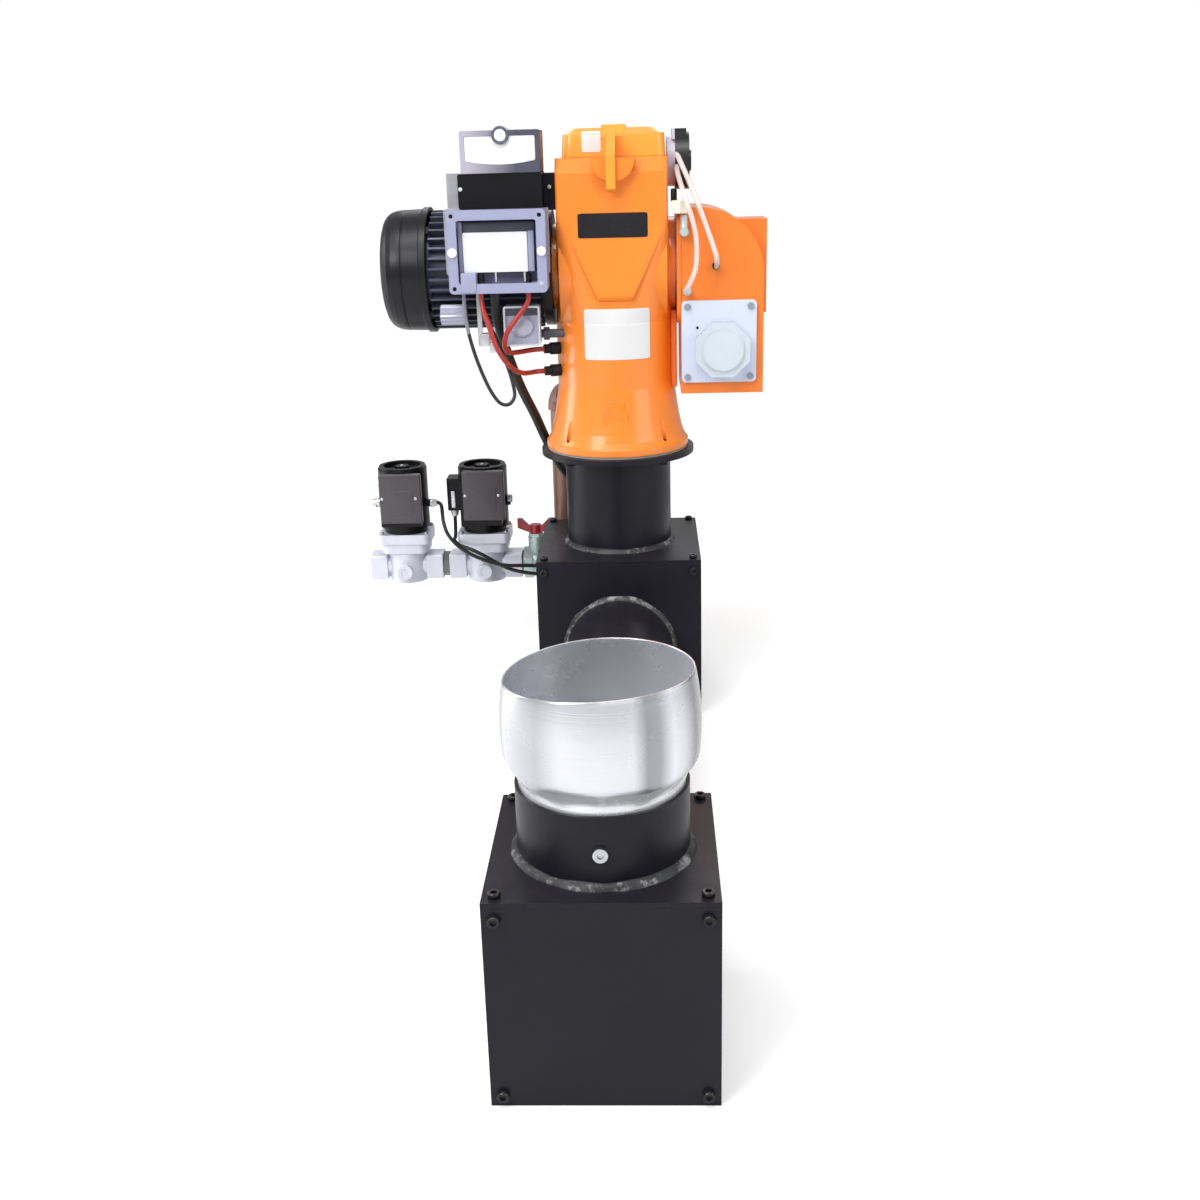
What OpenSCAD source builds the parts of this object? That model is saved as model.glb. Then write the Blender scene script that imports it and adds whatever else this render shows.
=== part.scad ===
/* [Steel boxes] */
// Side of the rear cube box, which carries the burner
rear_box_w = 235; // [225:5:260]
// Side of the front cube box, which carries the flame cup
front_box_w = 200; // [196:2:214]
// Clear distance between the two boxes
box_gap = 662; // [400:10:900]
// Sheet thickness of the folded box shells
box_wall = 4; // [3:0.5:5]
// Thickness of the bolted top and front plates
plate_t = 5; // [4:0.5:8]
// Width of the folded rim behind each bolted plate
rim_w = 21; // [19:1:21]
// Distance of the corner screws from the plate edges
screw_inset = 11; // [10:0.5:12]

/* [Ducts] */
// Outside diameter of all the round ducts
duct_d = 154; // [146:2:154]
// Wall of the ducts
duct_wall = 3; // [2:0.5:4]
// Height of the riser duct above the front box
riser_h = 66; // [50:2:90]
// Height of the inlet duct between the rear box and the flange plate
inlet_duct_h = 135; // [120:5:200]
// Leg length of the weld beads round the ducts
bead_leg = 7; // [4:1:8]

/* [Flame cup] */
// Depth that the cup's spigot sits in the riser duct
spigot_depth = 50; // [36:2:60]
// Height of the cup above the riser duct
cup_h = 97; // [70:1:140]
// Largest diameter of the cup
cup_d = 175; // [165:1:190]
// Diameter of the curled mouth
cup_mouth_d = 165; // [155:1:172]
// Wall of the spun cup
cup_wall = 2; // [1.5:0.5:3]
// Slant of the cup's rim, higher on the right
rim_slant = 2.7; // [0:0.1:3]

/* [Flange joint] */
// Diameter of the flange plate on the inlet duct
flange_plate_d = 222; // [216:2:240]
// Thickness of the flange plate
flange_plate_t = 8; // [6:1:12]
// Thickness of the rope-board gasket
gasket_t = 3; // [2:0.5:5]
// Diameter of the casting's own flange
casting_flange_d = 206; // [204:1:212]
// Thickness of the casting's flange
casting_flange_t = 11; // [9:1:14]
// Diameter of the flange bolts
flange_bolt_d = 8; // [6:1:8]
// Radius of the flange bolt circle
flange_bolt_r = 94; // [93:0.5:95]

/* [Casting] */
// Width of the casting across the motor and intake sides
casting_w = 167; // [164:1:172]
// Width of the casting's square upper section
upper_w = 151; // [148:1:154]
// Wall of the casting
casting_wall = 4.5; // [3.5:0.5:6]
// Height above the flange where the round neck starts to turn square
square_start_h = 181; // [170:1:186]
// Height above the flange where the section is fully square
square_end_h = 319; // [300:1:330]
// Height of the casting above its flange face
casting_h = 399; // [390:1:420]
// Reach of the square section in front of the burner axis
front_reach = 74; // [70:1:82]
// Reach of the square section behind the burner axis
back_reach = 98; // [95:1:110]
// Height of the sloping shoulder round the top front edge
shoulder_h = 19; // [12:1:22]
// Depth of that shoulder
shoulder_d = 18; // [10:1:22]
// Height of the top cover
cover_h = 38; // [30:1:50]

/* [Fan and motor] */
// Depth of the motor axis below the casting's top
fan_axis_drop = 147; // [143:1:149]
// Distance of the motor axis behind the burner axis
fan_axis_y = 14; // [12:1:16]
// Diameter of the fan scroll
scroll_d = 172; // [168:1:174]
// Diameter of the impeller
impeller_d = 150; // [120:1:152]
// Width of the impeller
impeller_w = 60; // [50:1:62]
// Number of impeller blades
impeller_blades = 24; // [16:1:28]
// Length of the motor housing
motor_len = 160; // [150:1:170]
// Radius over the motor's cooling fins
motor_fin_r = 82; // [80:1:84]
// Number of cooling fins
motor_fins = 36; // [20:4:40]
// Length of the motor's fan cowl
cowl_len = 66; // [60:1:80]
// Radius of the fan cowl
cowl_r = 84; // [83:0.5:88]
// Diameter of the motor shaft
shaft_d = 17; // [15:0.5:17]

/* [Air intake] */
// Width of the intake housing
intake_w = 114; // [112:1:130]
// Height of the intake housing
intake_h = 251; // [240:1:260]
// Depth of the intake housing
intake_depth = 148; // [144:1:156]
// Wall of the intake housing
intake_wall = 4; // [3:0.5:5]
// Radius of its outer top corner
intake_corner_r = 88; // [60:1:90]
// Radius of the hole between intake and fan
eye_r = 52; // [40:1:54]
// Height of the damper axis above the intake mouth
damper_h = 63; // [60:1:70]
// Diameter of the damper shaft
damper_shaft_d = 8; // [6:0.5:9]

/* [Gas train] */
// Distance of the gas train behind the burner axis
train_y = 162; // [160:1:175]
// Height of the gas train axis above the floor
train_z = 152; // [142:1:156]
// Length of a valve body between its port faces
valve_len = 118; // [112:1:120]
// Clear distance between the two valve bodies
valve_gap = 11; // [8:1:24]
// Radius of the gas ports' threaded holes
port_r = 15.15; // [12:0.05:15.5]
// Travel of the valve plungers
valve_travel = 4; // [2:0.5:5]
// Outside diameter of the gas pipe
pipe_d = 33.7; // [30:0.1:34]
// Distance of the gas riser pipe left of the burner axis
pipe_x = 92; // [88:1:98]

/* [Controls] */
// Width of the control box
control_w = 112; // [100:1:120]
// Height of the control box base
control_base_h = 45; // [40:1:50]
// Height of the control box cover
control_cover_h = 54; // [48:1:60]
// Depth of the control box
control_depth = 58; // [50:1:64]
// Travel of the reset button
reset_travel = 2.5; // [1.5:0.5:3]
// Width of the transformer tray
tray_w = 132; // [128:1:140]
// Height of the transformer tray
tray_h = 108; // [104:1:112]
// Depth of the transformer tray
tray_depth = 38; // [32:1:44]
// Thickness of the folded mounting panel
panel_t = 2; // [1.5:0.5:3]

/* [Hidden] */
$fn = 64;

// Clearance between parts that stand still against each other
seat_gap = 0.1;
// Radial running clearance of shafts and sliding parts
run_gap = 0.06;
// Extra length that lets a cut pass right through
over = 2;

duct_r = duct_d / 2;
duct_ri = duct_r - duct_wall;
front_box_y = -(rear_box_w / 2 + box_gap + front_box_w / 2);
cross_z = front_box_w / 2;
riser_top = front_box_w + riser_h;

flange_plate_z = rear_box_w + inlet_duct_h;
gasket_z = flange_plate_z + flange_plate_t;
casting_z = gasket_z + gasket_t;
casting_x = casting_w / 2;
upper_x = upper_w / 2;
casting_top = casting_z + casting_h;
neck_r = casting_x;
neck_ri = neck_r - casting_wall;
square_corner = 6;
square_z0 = casting_z + square_start_h;
square_z1 = casting_z + square_end_h;
flange_bolt_angles = [45, 135, 225, 315];

fan_z = casting_top - fan_axis_drop;
pad_x = casting_x + 1.5;
drum_x = upper_x - 1.5;
motor_pad_r = 60;
eye_pad_r = 66;
scroll_ri = scroll_d / 2 - casting_wall;

screw_r = 3;
screw_head_r = 5.5;
screw_head_h = 5;
set_screw_r = 4;
set_screw_z = front_box_w + 33;

// Helpers: round bars along the three axes, and a block between two corners
module rod_x(x0, x1, r) translate([x0, 0, 0]) rotate([0, 90, 0]) cylinder(h = x1 - x0, r = r);
module rod_y(y0, y1, r) translate([0, y1, 0]) rotate([90, 0, 0]) cylinder(h = y1 - y0, r = r);
module rod_z(z0, z1, r) translate([0, 0, z0]) cylinder(h = z1 - z0, r = r);
module hex_x(x0, x1, r) translate([x0, 0, 0]) rotate([0, 90, 0]) cylinder(h = x1 - x0, r = r, $fn = 6);
module hex_z(z0, z1, r) translate([0, 0, z0]) cylinder(h = z1 - z0, r = r, $fn = 6);
module block(lo, hi) translate(lo) cube(hi - lo);

// A rectangle w by h with round corners, centred
module rounded(w, h, r) {
  square([w - 2 * r, h], center = true);
  square([w, h - 2 * r], center = true);
  for (x = [-1, 1], y = [-1, 1]) translate([x * (w / 2 - r), y * (h / 2 - r)]) circle(r);
}

// The same rectangle as a plate facing along Y, X or Z
module plate_y(w, h, r, y0, y1)
  translate([0, y1, 0]) rotate([90, 0, 0]) linear_extrude(y1 - y0) rounded(w, h, r);
module plate_x(w, h, r, x0, x1)
  translate([x0, 0, 0]) rotate([90, 0, 90]) linear_extrude(x1 - x0) rounded(w, h, r);
module plate_z(w, h, r, z0, z1) translate([0, 0, z0]) linear_extrude(z1 - z0) rounded(w, h, r);

// A ring about Z between two radii
module ring_z(z0, z1, ro, ri) {
  difference() {
    rod_z(z0, z1, ro);
    rod_z(z0 - over, z1 + over, ri);
  }
}

// Places its children at the fan axis, at the front box or at the gas train
module at_fan() translate([0, fan_axis_y, fan_z]) children();
module at_front_box() translate([0, front_box_y, 0]) children();
module at_train(x) translate([x, train_y, train_z]) children();
module at_corners(d) for (x = [-d, d], y = [-d, d]) translate([x, y, 0]) children();

// Point on a cubic Bezier curve, and n points along it without the first
function bezier(p, t) = pow(1 - t, 3) * p[0] + 3 * pow(1 - t, 2) * t * p[1]
  + 3 * (1 - t) * t * t * p[2] + pow(t, 3) * p[3];
function curve(p, n) = [for (i = [1 : n]) bezier(p, i / n)];

// A soft tube: rings of points set square to a route, joined into one polyhedron
function unit(v) = v / norm(v);
function heading(p, i) = unit(p[min(i + 1, len(p) - 1)] - p[max(i - 1, 0)]);
function across(d) = unit(cross(d, abs(d.z) > 0.9 ? [0, 1, 0.1] : [0.1, 0, 1]));
function carried(p, i) = i == 0 ? across(heading(p, 0))
  : let (d = heading(p, i), u = carried(p, i - 1)) unit(u - (u * d) * d);
module tube(p, d, sides = 8) {
  n = len(p);
  points = [for (i = [0 : n - 1])
    let (u = carried(p, i), v = cross(heading(p, i), u))
    for (k = [0 : sides - 1]) p[i] + d / 2 * (cos(360 * k / sides) * u + sin(360 * k / sides) * v)];
  walls = [for (i = [0 : n - 2], k = [0 : sides - 1])
    let (a = i * sides + k, b = i * sides + (k + 1) % sides)
    [a, b, b + sides, a + sides]];
  ends = [[for (k = [sides - 1 : -1 : 0]) k], [for (k = [0 : sides - 1]) (n - 1) * sides + k]];
  polyhedron(points, concat(walls, ends), convexity = 6);
}

// Steel boxes: a folded shell, open at the top and front behind a screwed-on plate
module box_shell(w) {
  h = w - plate_t;
  y0 = -w / 2 + plate_t;
  difference() {
    block([-w / 2, y0, 0], [w / 2, w / 2, h]);
    block([-w / 2 + box_wall, y0 + box_wall, box_wall], [w / 2 - box_wall, w / 2 - box_wall, h - box_wall]);
    block([-w / 2 + rim_w, y0 + rim_w, h - box_wall - over], [w / 2 - rim_w, w / 2 - rim_w, h + over]);
    block([-w / 2 + rim_w, y0 - over, rim_w], [w / 2 - rim_w, y0 + box_wall + over, h - rim_w]);
    at_corners(w / 2 - screw_inset) rod_z(h - box_wall - over, h + over, screw_r + seat_gap);
    for (x = [-1, 1], z = [screw_inset, h - screw_inset])
      translate([x * (w / 2 - screw_inset), 0, z]) rod_y(y0 - over, y0 + box_wall + over, screw_r + seat_gap);
  }
}

module box_top_plate(w) {
  difference() {
    block([-w / 2, -w / 2, w - plate_t], [w / 2, w / 2, w]);
    rod_z(w - plate_t - over, w + over, duct_r + seat_gap);
    at_corners(w / 2 - screw_inset) rod_z(w - plate_t - over, w + over, screw_r + seat_gap);
  }
}

module box_front_plate(w) {
  h = w - plate_t;
  difference() {
    block([-w / 2, -w / 2, 0], [w / 2, -w / 2 + plate_t, h]);
    for (x = [-1, 1], z = [screw_inset, h - screw_inset])
      translate([x * (w / 2 - screw_inset), 0, z])
        rod_y(-w / 2 - over, -w / 2 + plate_t + over, screw_r + seat_gap);
  }
}

// One socket-head screw, head up, its shank through a plate and the rim behind it
module box_screw() {
  difference() {
    union() {
      rod_z(0, screw_head_h, screw_head_r);
      rod_z(-plate_t - box_wall - 1, over, screw_r);
    }
    hex_z(screw_head_h - 3, screw_head_h + over, 2.9);
  }
}

module box_screw_set(w) {
  at_corners(w / 2 - screw_inset) translate([0, 0, w]) box_screw();
  for (x = [-1, 1], z = [screw_inset, w - plate_t - screw_inset])
    translate([x * (w / 2 - screw_inset), -w / 2, z]) rotate([90, 0, 0]) box_screw();
}

module rear_box_shell() color("#1d1f24") box_shell(rear_box_w);
module rear_box_top_plate() color("#202227") box_top_plate(rear_box_w);
module rear_box_front_plate() {
  color("#202227") difference() {
    box_front_plate(rear_box_w);
    translate([0, 0, cross_z]) rod_y(-rear_box_w, 0, duct_r + seat_gap);
  }
}
module front_box_shell() {
  color("#1d1f24") at_front_box() difference() {
    box_shell(front_box_w);
    translate([0, 0, cross_z]) rod_y(front_box_w / 4, front_box_w, duct_r + seat_gap);
  }
}
module front_box_top_plate() color("#202227") at_front_box() box_top_plate(front_box_w);
module front_box_cover() color("#202227") at_front_box() box_front_plate(front_box_w);
module box_screws() {
  color("#111214") box_screw_set(rear_box_w);
  color("#111214") at_front_box() box_screw_set(front_box_w);
}

// Round ducts
module cross_duct() {
  y0 = front_box_y + front_box_w / 2 - box_wall;
  y1 = -rear_box_w / 2 + plate_t;
  color("#1d1f24") translate([0, 0, cross_z]) difference() {
    rod_y(y0, y1, duct_r);
    rod_y(y0 - over, y1 + over, duct_ri);
  }
}

module riser_duct() {
  color("#1d1f24") at_front_box() difference() {
    ring_z(front_box_w - plate_t, riser_top, duct_r, duct_ri);
    translate([0, 0, set_screw_z]) rod_y(-duct_r - over, 0, set_screw_r + seat_gap);
  }
}

module inlet_duct() color("#1d1f24") ring_z(rear_box_w - plate_t, gasket_z, duct_r, duct_ri);

// A weld bead round a duct, with its flat foot at height 0
module bead() {
  r = duct_r + seat_gap;
  rotate_extrude() polygon([[r, 0], [r + bead_leg, 0], [r + 0.75 * bead_leg, 0.35 * bead_leg],
    [r + 0.35 * bead_leg, 0.7 * bead_leg], [r, bead_leg]]);
}

module weld_beads() {
  color("#6f7378") {
    translate([0, 0, rear_box_w]) bead();
    translate([0, 0, flange_plate_z]) mirror([0, 0, 1]) bead();
    at_front_box() translate([0, 0, front_box_w]) bead();
    translate([0, -rear_box_w / 2, cross_z]) rotate([90, 0, 0]) bead();
    translate([0, front_box_y + front_box_w / 2, cross_z]) rotate([-90, 0, 0]) bead();
  }
}

// Flame cup: spun shell, its spigot in the riser duct
cup_spigot_r = duct_ri - 0.3;
cup_shoulder = 0.35 * cup_h;
cup_outline = concat(
  [[cup_spigot_r, -spigot_depth], [cup_spigot_r, 0]],
  curve([[cup_spigot_r, 0], [cup_spigot_r, 0.5 * cup_shoulder],
    [cup_d / 2 - 1.5, 0.5 * cup_shoulder], [cup_d / 2 - 1, cup_shoulder]], 6),
  curve([[cup_d / 2 - 1, cup_shoulder], [cup_d / 2 + 0.6, 0.55 * cup_h],
    [cup_d / 2 + 0.4, 0.78 * cup_h], [cup_mouth_d / 2, 1.06 * cup_h]], 6));

module flame_cup() {
  color("#c9ccd0") at_front_box() translate([0, 0, riser_top]) difference() {
    rotate_extrude() polygon(concat(cup_outline,
      [for (i = [len(cup_outline) - 1 : -1 : 0]) cup_outline[i] - [cup_wall, 0]]));
    translate([0, 0, cup_h]) rotate([0, -rim_slant, 0]) block([-cup_d, -cup_d, 0], [cup_d, cup_d, cup_h]);
  }
}

module cup_set_screw() {
  color("#d5d7da") at_front_box() translate([0, 0, set_screw_z]) difference() {
    union() {
      rod_y(-duct_r - 4.5, -duct_r - seat_gap, 6.5);
      rod_y(-duct_r - 1, -cup_spigot_r - seat_gap, set_screw_r);
    }
    rod_y(-duct_r - 6, -duct_r - 2.5, 3);
  }
}

// Flange joint under the casting
module at_flange_bolts() for (a = flange_bolt_angles) rotate(a) translate([flange_bolt_r, 0, 0]) children();

module flange_plate() {
  color("#17181b") difference() {
    ring_z(flange_plate_z, gasket_z, flange_plate_d / 2, duct_r + seat_gap);
    at_flange_bolts() rod_z(flange_plate_z - over, gasket_z + over, flange_bolt_d / 2 + 0.3);
  }
}

module flange_gasket() {
  color("#b9b3a6") difference() {
    ring_z(gasket_z, casting_z, casting_flange_d / 2 - 1, duct_r + 2);
    at_flange_bolts() rod_z(gasket_z - over, casting_z + over, flange_bolt_d / 2 + 0.3);
  }
}

module flange_bolts() {
  color("#2a2b2e") at_flange_bolts() {
    rod_z(flange_plate_z - 2, casting_z + casting_flange_t + 6, flange_bolt_d / 2);
    hex_z(flange_plate_z - 7, flange_plate_z - 0.05, 0.9 * flange_bolt_d);
  }
}

// Casting: round neck, a square-to-round transition with its V facet, fan scroll and top box
inlet_angle = 180 - atan2(train_y, pipe_x);
inlet_run = norm([pipe_x, train_y]);
inlet_z = casting_z + 49;
inlet_boss_r = neck_r + 26;
lead_angle = 200;
lead_heights = [144, 113];
motor_spigot_r = 26;

// Four round corner posts between y0 and y1, over the casting's width less t on each side
module casting_posts(t, y0, y1, z0, z1) {
  r = square_corner - t / 2;
  for (x = [-1, 1], y = [y0 + t + r, y1 - t - r]) translate([x * (upper_x - t - r), y, 0])
    rod_z(z0 - t, z1 - t, r, $fn = 24);
}

// Solid of the casting above the neck, grown inwards by t
module casting_body(t) {
  hull() {
    rod_z(square_z0 - t - 0.6, square_z0 - t, neck_r - t - 0.4, $fn = 48);
    casting_posts(t, -front_reach, back_reach, square_z1 - 1, square_z1);
  }
  hull() {
    casting_posts(t, -front_reach, back_reach, square_z1 - 1, casting_top - shoulder_h);
    casting_posts(t, -front_reach + shoulder_d, back_reach, casting_top - 1, casting_top);
  }
}

module casting_neck() {
  foot = casting_flange_t;
  fr = casting_flange_d / 2;
  rotate_extrude() polygon(concat(
    [[0, 0], [fr, 0], [fr, foot - 2], [fr - 2, foot]],
    curve([[fr - 2, foot], [neck_r + 9, foot + 10], [neck_r + 5, foot + 45], [neck_r, foot + 80]], 6),
    [[neck_r, square_start_h], [0, square_start_h]]));
}

module front_boss() {
  intersection() {
    translate([3, 0, casting_top - 2]) rod_y(-front_reach - 12, -front_reach + shoulder_d + 6, 29);
    block([-40, -200, casting_top - 60], [50, 200, casting_top - 1]);
  }
}

// Wedge on the front: broad and nearly flush above, its sides drawn in to a rounded lip below
facet_x = 3;
facet_top = square_z1 - 10;
facet_lip = square_z1 - 98;
module front_facet() {
  hull() {
    for (s = [-1, 1]) translate([facet_x + s * 62, -front_reach + 8, 0])
      rod_z(facet_top - 4, facet_top, 8.6, $fn = 24);
    translate([0, -front_reach - 3, facet_lip]) rod_x(facet_x - 24, facet_x + 24, 10, $fn = 32);
  }
}

module burner_casting() {
  color("#f58220") difference() {
    union() {
      translate([0, 0, casting_z]) casting_neck();
      casting_body(0);
      at_fan() rod_x(-drum_x, drum_x, scroll_d / 2);
      at_fan() rod_x(-pad_x, 0, motor_pad_r);
      at_fan() rod_x(0, pad_x, eye_pad_r);
      rotate(inlet_angle) translate([0, 0, inlet_z]) rod_x(neck_ri - 4, inlet_boss_r, 24);
      front_boss();
      front_facet();
      translate([0, -neck_r, casting_z + 50]) block([-17, -6, -9], [17, 20, 9]);
      translate([0, -neck_r, casting_z + 67]) block([-12, -3.5, -9], [12, 20, 9]);
    }
    casting_body(casting_wall);
    rod_z(casting_z - over, square_z0 - casting_wall, neck_ri);
    at_fan() rod_x(-drum_x + casting_wall, drum_x - casting_wall, scroll_ri);
    at_fan() rod_x(-pad_x - over, 0, motor_spigot_r);
    at_fan() rod_x(0, pad_x + over, eye_r);
    rotate(inlet_angle) translate([0, 0, inlet_z])
      rod_x(neck_ri - 12, inlet_boss_r + over, pipe_d / 2 + seat_gap);
    block([-50, -10, casting_top - casting_wall - over], [56, 68, casting_top + over]);
    at_flange_bolts() rod_z(casting_z - over, casting_z + casting_flange_t + 34, flange_bolt_d / 2 + 0.3);
    for (h = lead_heights) rotate(lead_angle) translate([0, 0, casting_z + h])
      rod_x(neck_ri - 6, neck_r + 6, 5.2);
  }
}

// Top cover and the strap that holds it
cover_w = 142;
cover_d = 112;
cover_x = 3;
cover_y = 24;
module cover_solid(t) {
  hull() {
    plate_z(cover_w - 2 * t, cover_d - 2 * t, 12, 0, 1, $fn = 32);
    translate([0, 0, cover_h - 9 - t]) plate_z(cover_w - 2 * t - 4, cover_d - 2 * t - 8, 14, 0, 1, $fn = 32);
    translate([0, 4, cover_h - t - 1])
      plate_z(cover_w - 2 * t - 22, cover_d - 2 * t - 32, 14, 0, 1, $fn = 32);
  }
}
module top_cover() {
  color("#f79a2e") translate([cover_x, cover_y, casting_top + seat_gap]) difference() {
    union() {
      cover_solid(0);
      hull() {
        block([-19, -cover_d / 2 + 3, 4], [19, cover_d / 2 - 3, cover_h - 11]);
        block([-16, -cover_d / 2 + 18, 4], [16, cover_d / 2 - 18, cover_h + 4]);
      }
    }
    translate([0, 0, -over]) cover_solid(4);
  }
}

strap_w = 12.8;
module cover_strap() {
  y_boss = -front_reach - 12 - seat_gap;
  y_cover = cover_y - cover_d / 2;
  z = casting_top;
  color("#f79a2e") translate([-strap_w / 2, 0, 0]) rotate([90, 0, 90]) linear_extrude(strap_w)
    polygon([[y_boss, z - 44], [y_boss - 6, z - 40], [y_boss - 6, z + 4], [y_cover - 6, z + cover_h - 3],
      [y_cover - 0.6, z + cover_h - 6], [y_cover - 0.6, z + 3], [y_boss, z - 0.6]]);
}

// Gas head inside the inlet duct
head_z = rear_box_w + 55;
gas_tube_r = 18;
module gas_head() {
  color("#b08d57") difference() {
    union() {
      rod_z(head_z, inlet_z + 20, gas_tube_r);
      rod_z(head_z, head_z + 22, 27);
      rotate(inlet_angle) translate([0, 0, inlet_z]) rod_x(0, neck_ri - 3, gas_tube_r);
    }
    rod_z(head_z + 3, inlet_z + 17, gas_tube_r - 3);
    rod_z(head_z + 3, head_z + 19, 24);
    rotate(inlet_angle) translate([0, 0, inlet_z]) rod_x(0, neck_ri, gas_tube_r - 3);
    for (a = [0 : 30 : 330]) rotate(a) translate([0, 0, head_z + 11]) rod_x(20, 30, 2.5);
    for (a = [0 : 60 : 300]) rotate(a) translate([14, 0, head_z - over]) rod_z(0, 8, 2.5);
  }
}

module diffuser_disc() {
  z = head_z + 26;
  color("#8d9095") difference() {
    union() {
      ring_z(z, z + 2, duct_ri - 4, gas_tube_r + seat_gap);
      ring_z(z, z + 10, gas_tube_r + 4, gas_tube_r + seat_gap);
      for (a = [90, 210, 330]) rotate(a) translate([0, 0, z])
        block([duct_ri - 8, -4, 0], [duct_ri - 0.3, 4, 16]);
    }
    for (a = [5 : 30 : 335]) rotate(a) translate([0, 0, z - over]) block([30, -2, 0], [62, 2, 8]);
    for (i = [0 : 2]) at_rod(i) rod_z(z - over, z + 8, ceramic_r + 0.5);
  }
}

// Ceramic rods: each comes in through the neck, turns down and ends at the head
ceramic_r = 4.5;
rod_places = [[33, lead_angle], [43.5, lead_angle], [36, 140]];
module at_rod(i) rotate(rod_places[i][1]) translate([rod_places[i][0], 0, 0]) children();
module electrodes() {
  color("#ece8df") for (i = [0, 1]) {
    lead_z = casting_z + lead_heights[i];
    at_rod(i) {
      rod_z(head_z + 6, lead_z + ceramic_r, ceramic_r);
      rod_z(head_z - 6, head_z + 8, 1.6);
      translate([0, 0, lead_z]) rod_x(0, neck_r + 4 - rod_places[i][0], ceramic_r);
    }
  }
  color("#e6e0d2") at_rod(2) {
    rod_z(head_z + 6, head_z + 90, ceramic_r);
    rod_z(head_z - 10, head_z + 8, 1.6);
  }
  color("#8d9095") at_rod(2) translate([0, 0, head_z + 60]) difference() {
    block([gas_tube_r + seat_gap - rod_places[2][0], -8, 0], [10, 8, 3]);
    rod_z(-1, 4, ceramic_r + seat_gap);
  }
}

// Rubber boots over the electrode ends outside the neck
boot_end = neck_r + 23;
module lead_boots() {
  color("#26272a") for (h = lead_heights) rotate(lead_angle) translate([0, 0, casting_z + h]) difference() {
    union() {
      rod_x(neck_r + 0.6, neck_r + 14, 8.5);
      rod_x(neck_r + 10, boot_end, 6.5);
    }
    rod_x(neck_r, neck_r + 5, ceramic_r + seat_gap);
  }
}

// Motor, left of the casting
shield_t = 12;
motor_x1 = -pad_x - seat_gap;
motor_x0 = motor_x1 - shield_t;
cowl_x1 = motor_x0 - motor_len;
cowl_x0 = cowl_x1 - cowl_len;
bearing_r = 20;
bearing_w = 12;
stator_r = 60;
rotor_r = 36;

module motor_end_shield() {
  color("#2b2d31") at_fan() difference() {
    union() {
      rod_x(motor_x0 + 0.1, motor_x1, 80);
      rod_x(motor_x1 - 1, motor_x1 + 5, motor_spigot_r - 0.2);
      rod_x(motor_x0 - 10, motor_x0 + 1, bearing_r + 5);
    }
    rod_x(motor_x0 - 12, motor_x0 - 10 + bearing_w, bearing_r + 0.05);
    rod_x(motor_x0 - 12, motor_x1 + 8, shaft_d / 2 + 1.5);
  }
}

module motor_housing() {
  color("#b6b9bd") at_fan() difference() {
    union() {
      rod_x(cowl_x1, motor_x0, 68);
      for (k = [0 : motor_fins - 1]) rotate([360 * (k + 0.5) / motor_fins, 0, 0])
        block([cowl_x1 + 4, 66, -1.5], [motor_x0 - 4, motor_fin_r, 1.5]);
      block([cowl_x1 + 40, -motor_fin_r - 1.9, -26], [motor_x0 - 20, -60, 26]);
    }
    rod_x(cowl_x1 + 16, motor_x0 + over, stator_r + 0.1);
    rod_x(cowl_x1 - over, cowl_x1 + 20, shaft_d / 2 + 1.5);
    rod_x(cowl_x1 + 6, cowl_x1 + 6 + bearing_w + 10, bearing_r + 0.05);
  }
}

module stator_core() {
  x0 = cowl_x1 + 36;
  x1 = motor_x0 - 32;
  color("#8a8d92") at_fan() difference() {
    rod_x(x0, x1, stator_r);
    rod_x(x0 - over, x1 + over, rotor_r + 0.6);
  }
  color("#a9642f") at_fan() for (x = [x0 - 11.8, x1 + 0.2]) difference() {
    rod_x(x, x + 11.6, stator_r - 4);
    rod_x(x - over, x + 14, rotor_r + 6);
  }
}

module bearing(x) {
  translate([x, 0, 0]) difference() {
    rod_x(0, bearing_w, bearing_r);
    rod_x(-over, bearing_w + over, shaft_d / 2 + run_gap);
  }
}
module motor_bearings() {
  color("#d0d3d7") at_fan() {
    bearing(cowl_x1 + 6.2);
    bearing(motor_x0 - 10.2);
  }
}

impeller_x1 = drum_x - casting_wall - 3;
impeller_x0 = impeller_x1 - impeller_w;
module motor_rotor() {
  color("#9a9da2") at_fan() {
    rod_x(cowl_x1 - 42, impeller_x0 + 22, shaft_d / 2);
    rod_x(cowl_x1 + 38, motor_x0 - 34, rotor_r);
  }
}

blade_ri = 0.78 * impeller_d / 2;
// One forward-curved blade in plan, from the inner to the outer circle
function blade_side(shift) = [for (t = [0 : 0.25 : 1])
  let (r = blade_ri + t * (impeller_d / 2 - 1 - blade_ri), a = 14 * pow(t, 1.6) + shift * 57.3 / r)
  [r * cos(a), r * sin(a)]];
module impeller() {
  hub_x = impeller_x0;
  color("#aeb1b6") at_fan() difference() {
    union() {
      rod_x(hub_x, hub_x + 2.5, impeller_d / 2);
      rod_x(hub_x - 10, hub_x + 24, shaft_d / 2 + 6);
      difference() {
        rod_x(impeller_x1 - 2.5, impeller_x1, impeller_d / 2);
        rod_x(impeller_x1 - 5, impeller_x1 + over, blade_ri - 1);
      }
      for (k = [0 : impeller_blades - 1]) rotate([360 * k / impeller_blades, 0, 0])
        translate([hub_x + 1, 0, 0]) rotate([90, 0, 90]) linear_extrude(impeller_w - 2)
          polygon(concat(blade_side(-0.8), [for (i = [4 : -1 : 0]) blade_side(0.8)[i]]));
    }
    rod_x(hub_x - 12, hub_x + 22.2, shaft_d / 2 + 0.02);
  }
}

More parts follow.
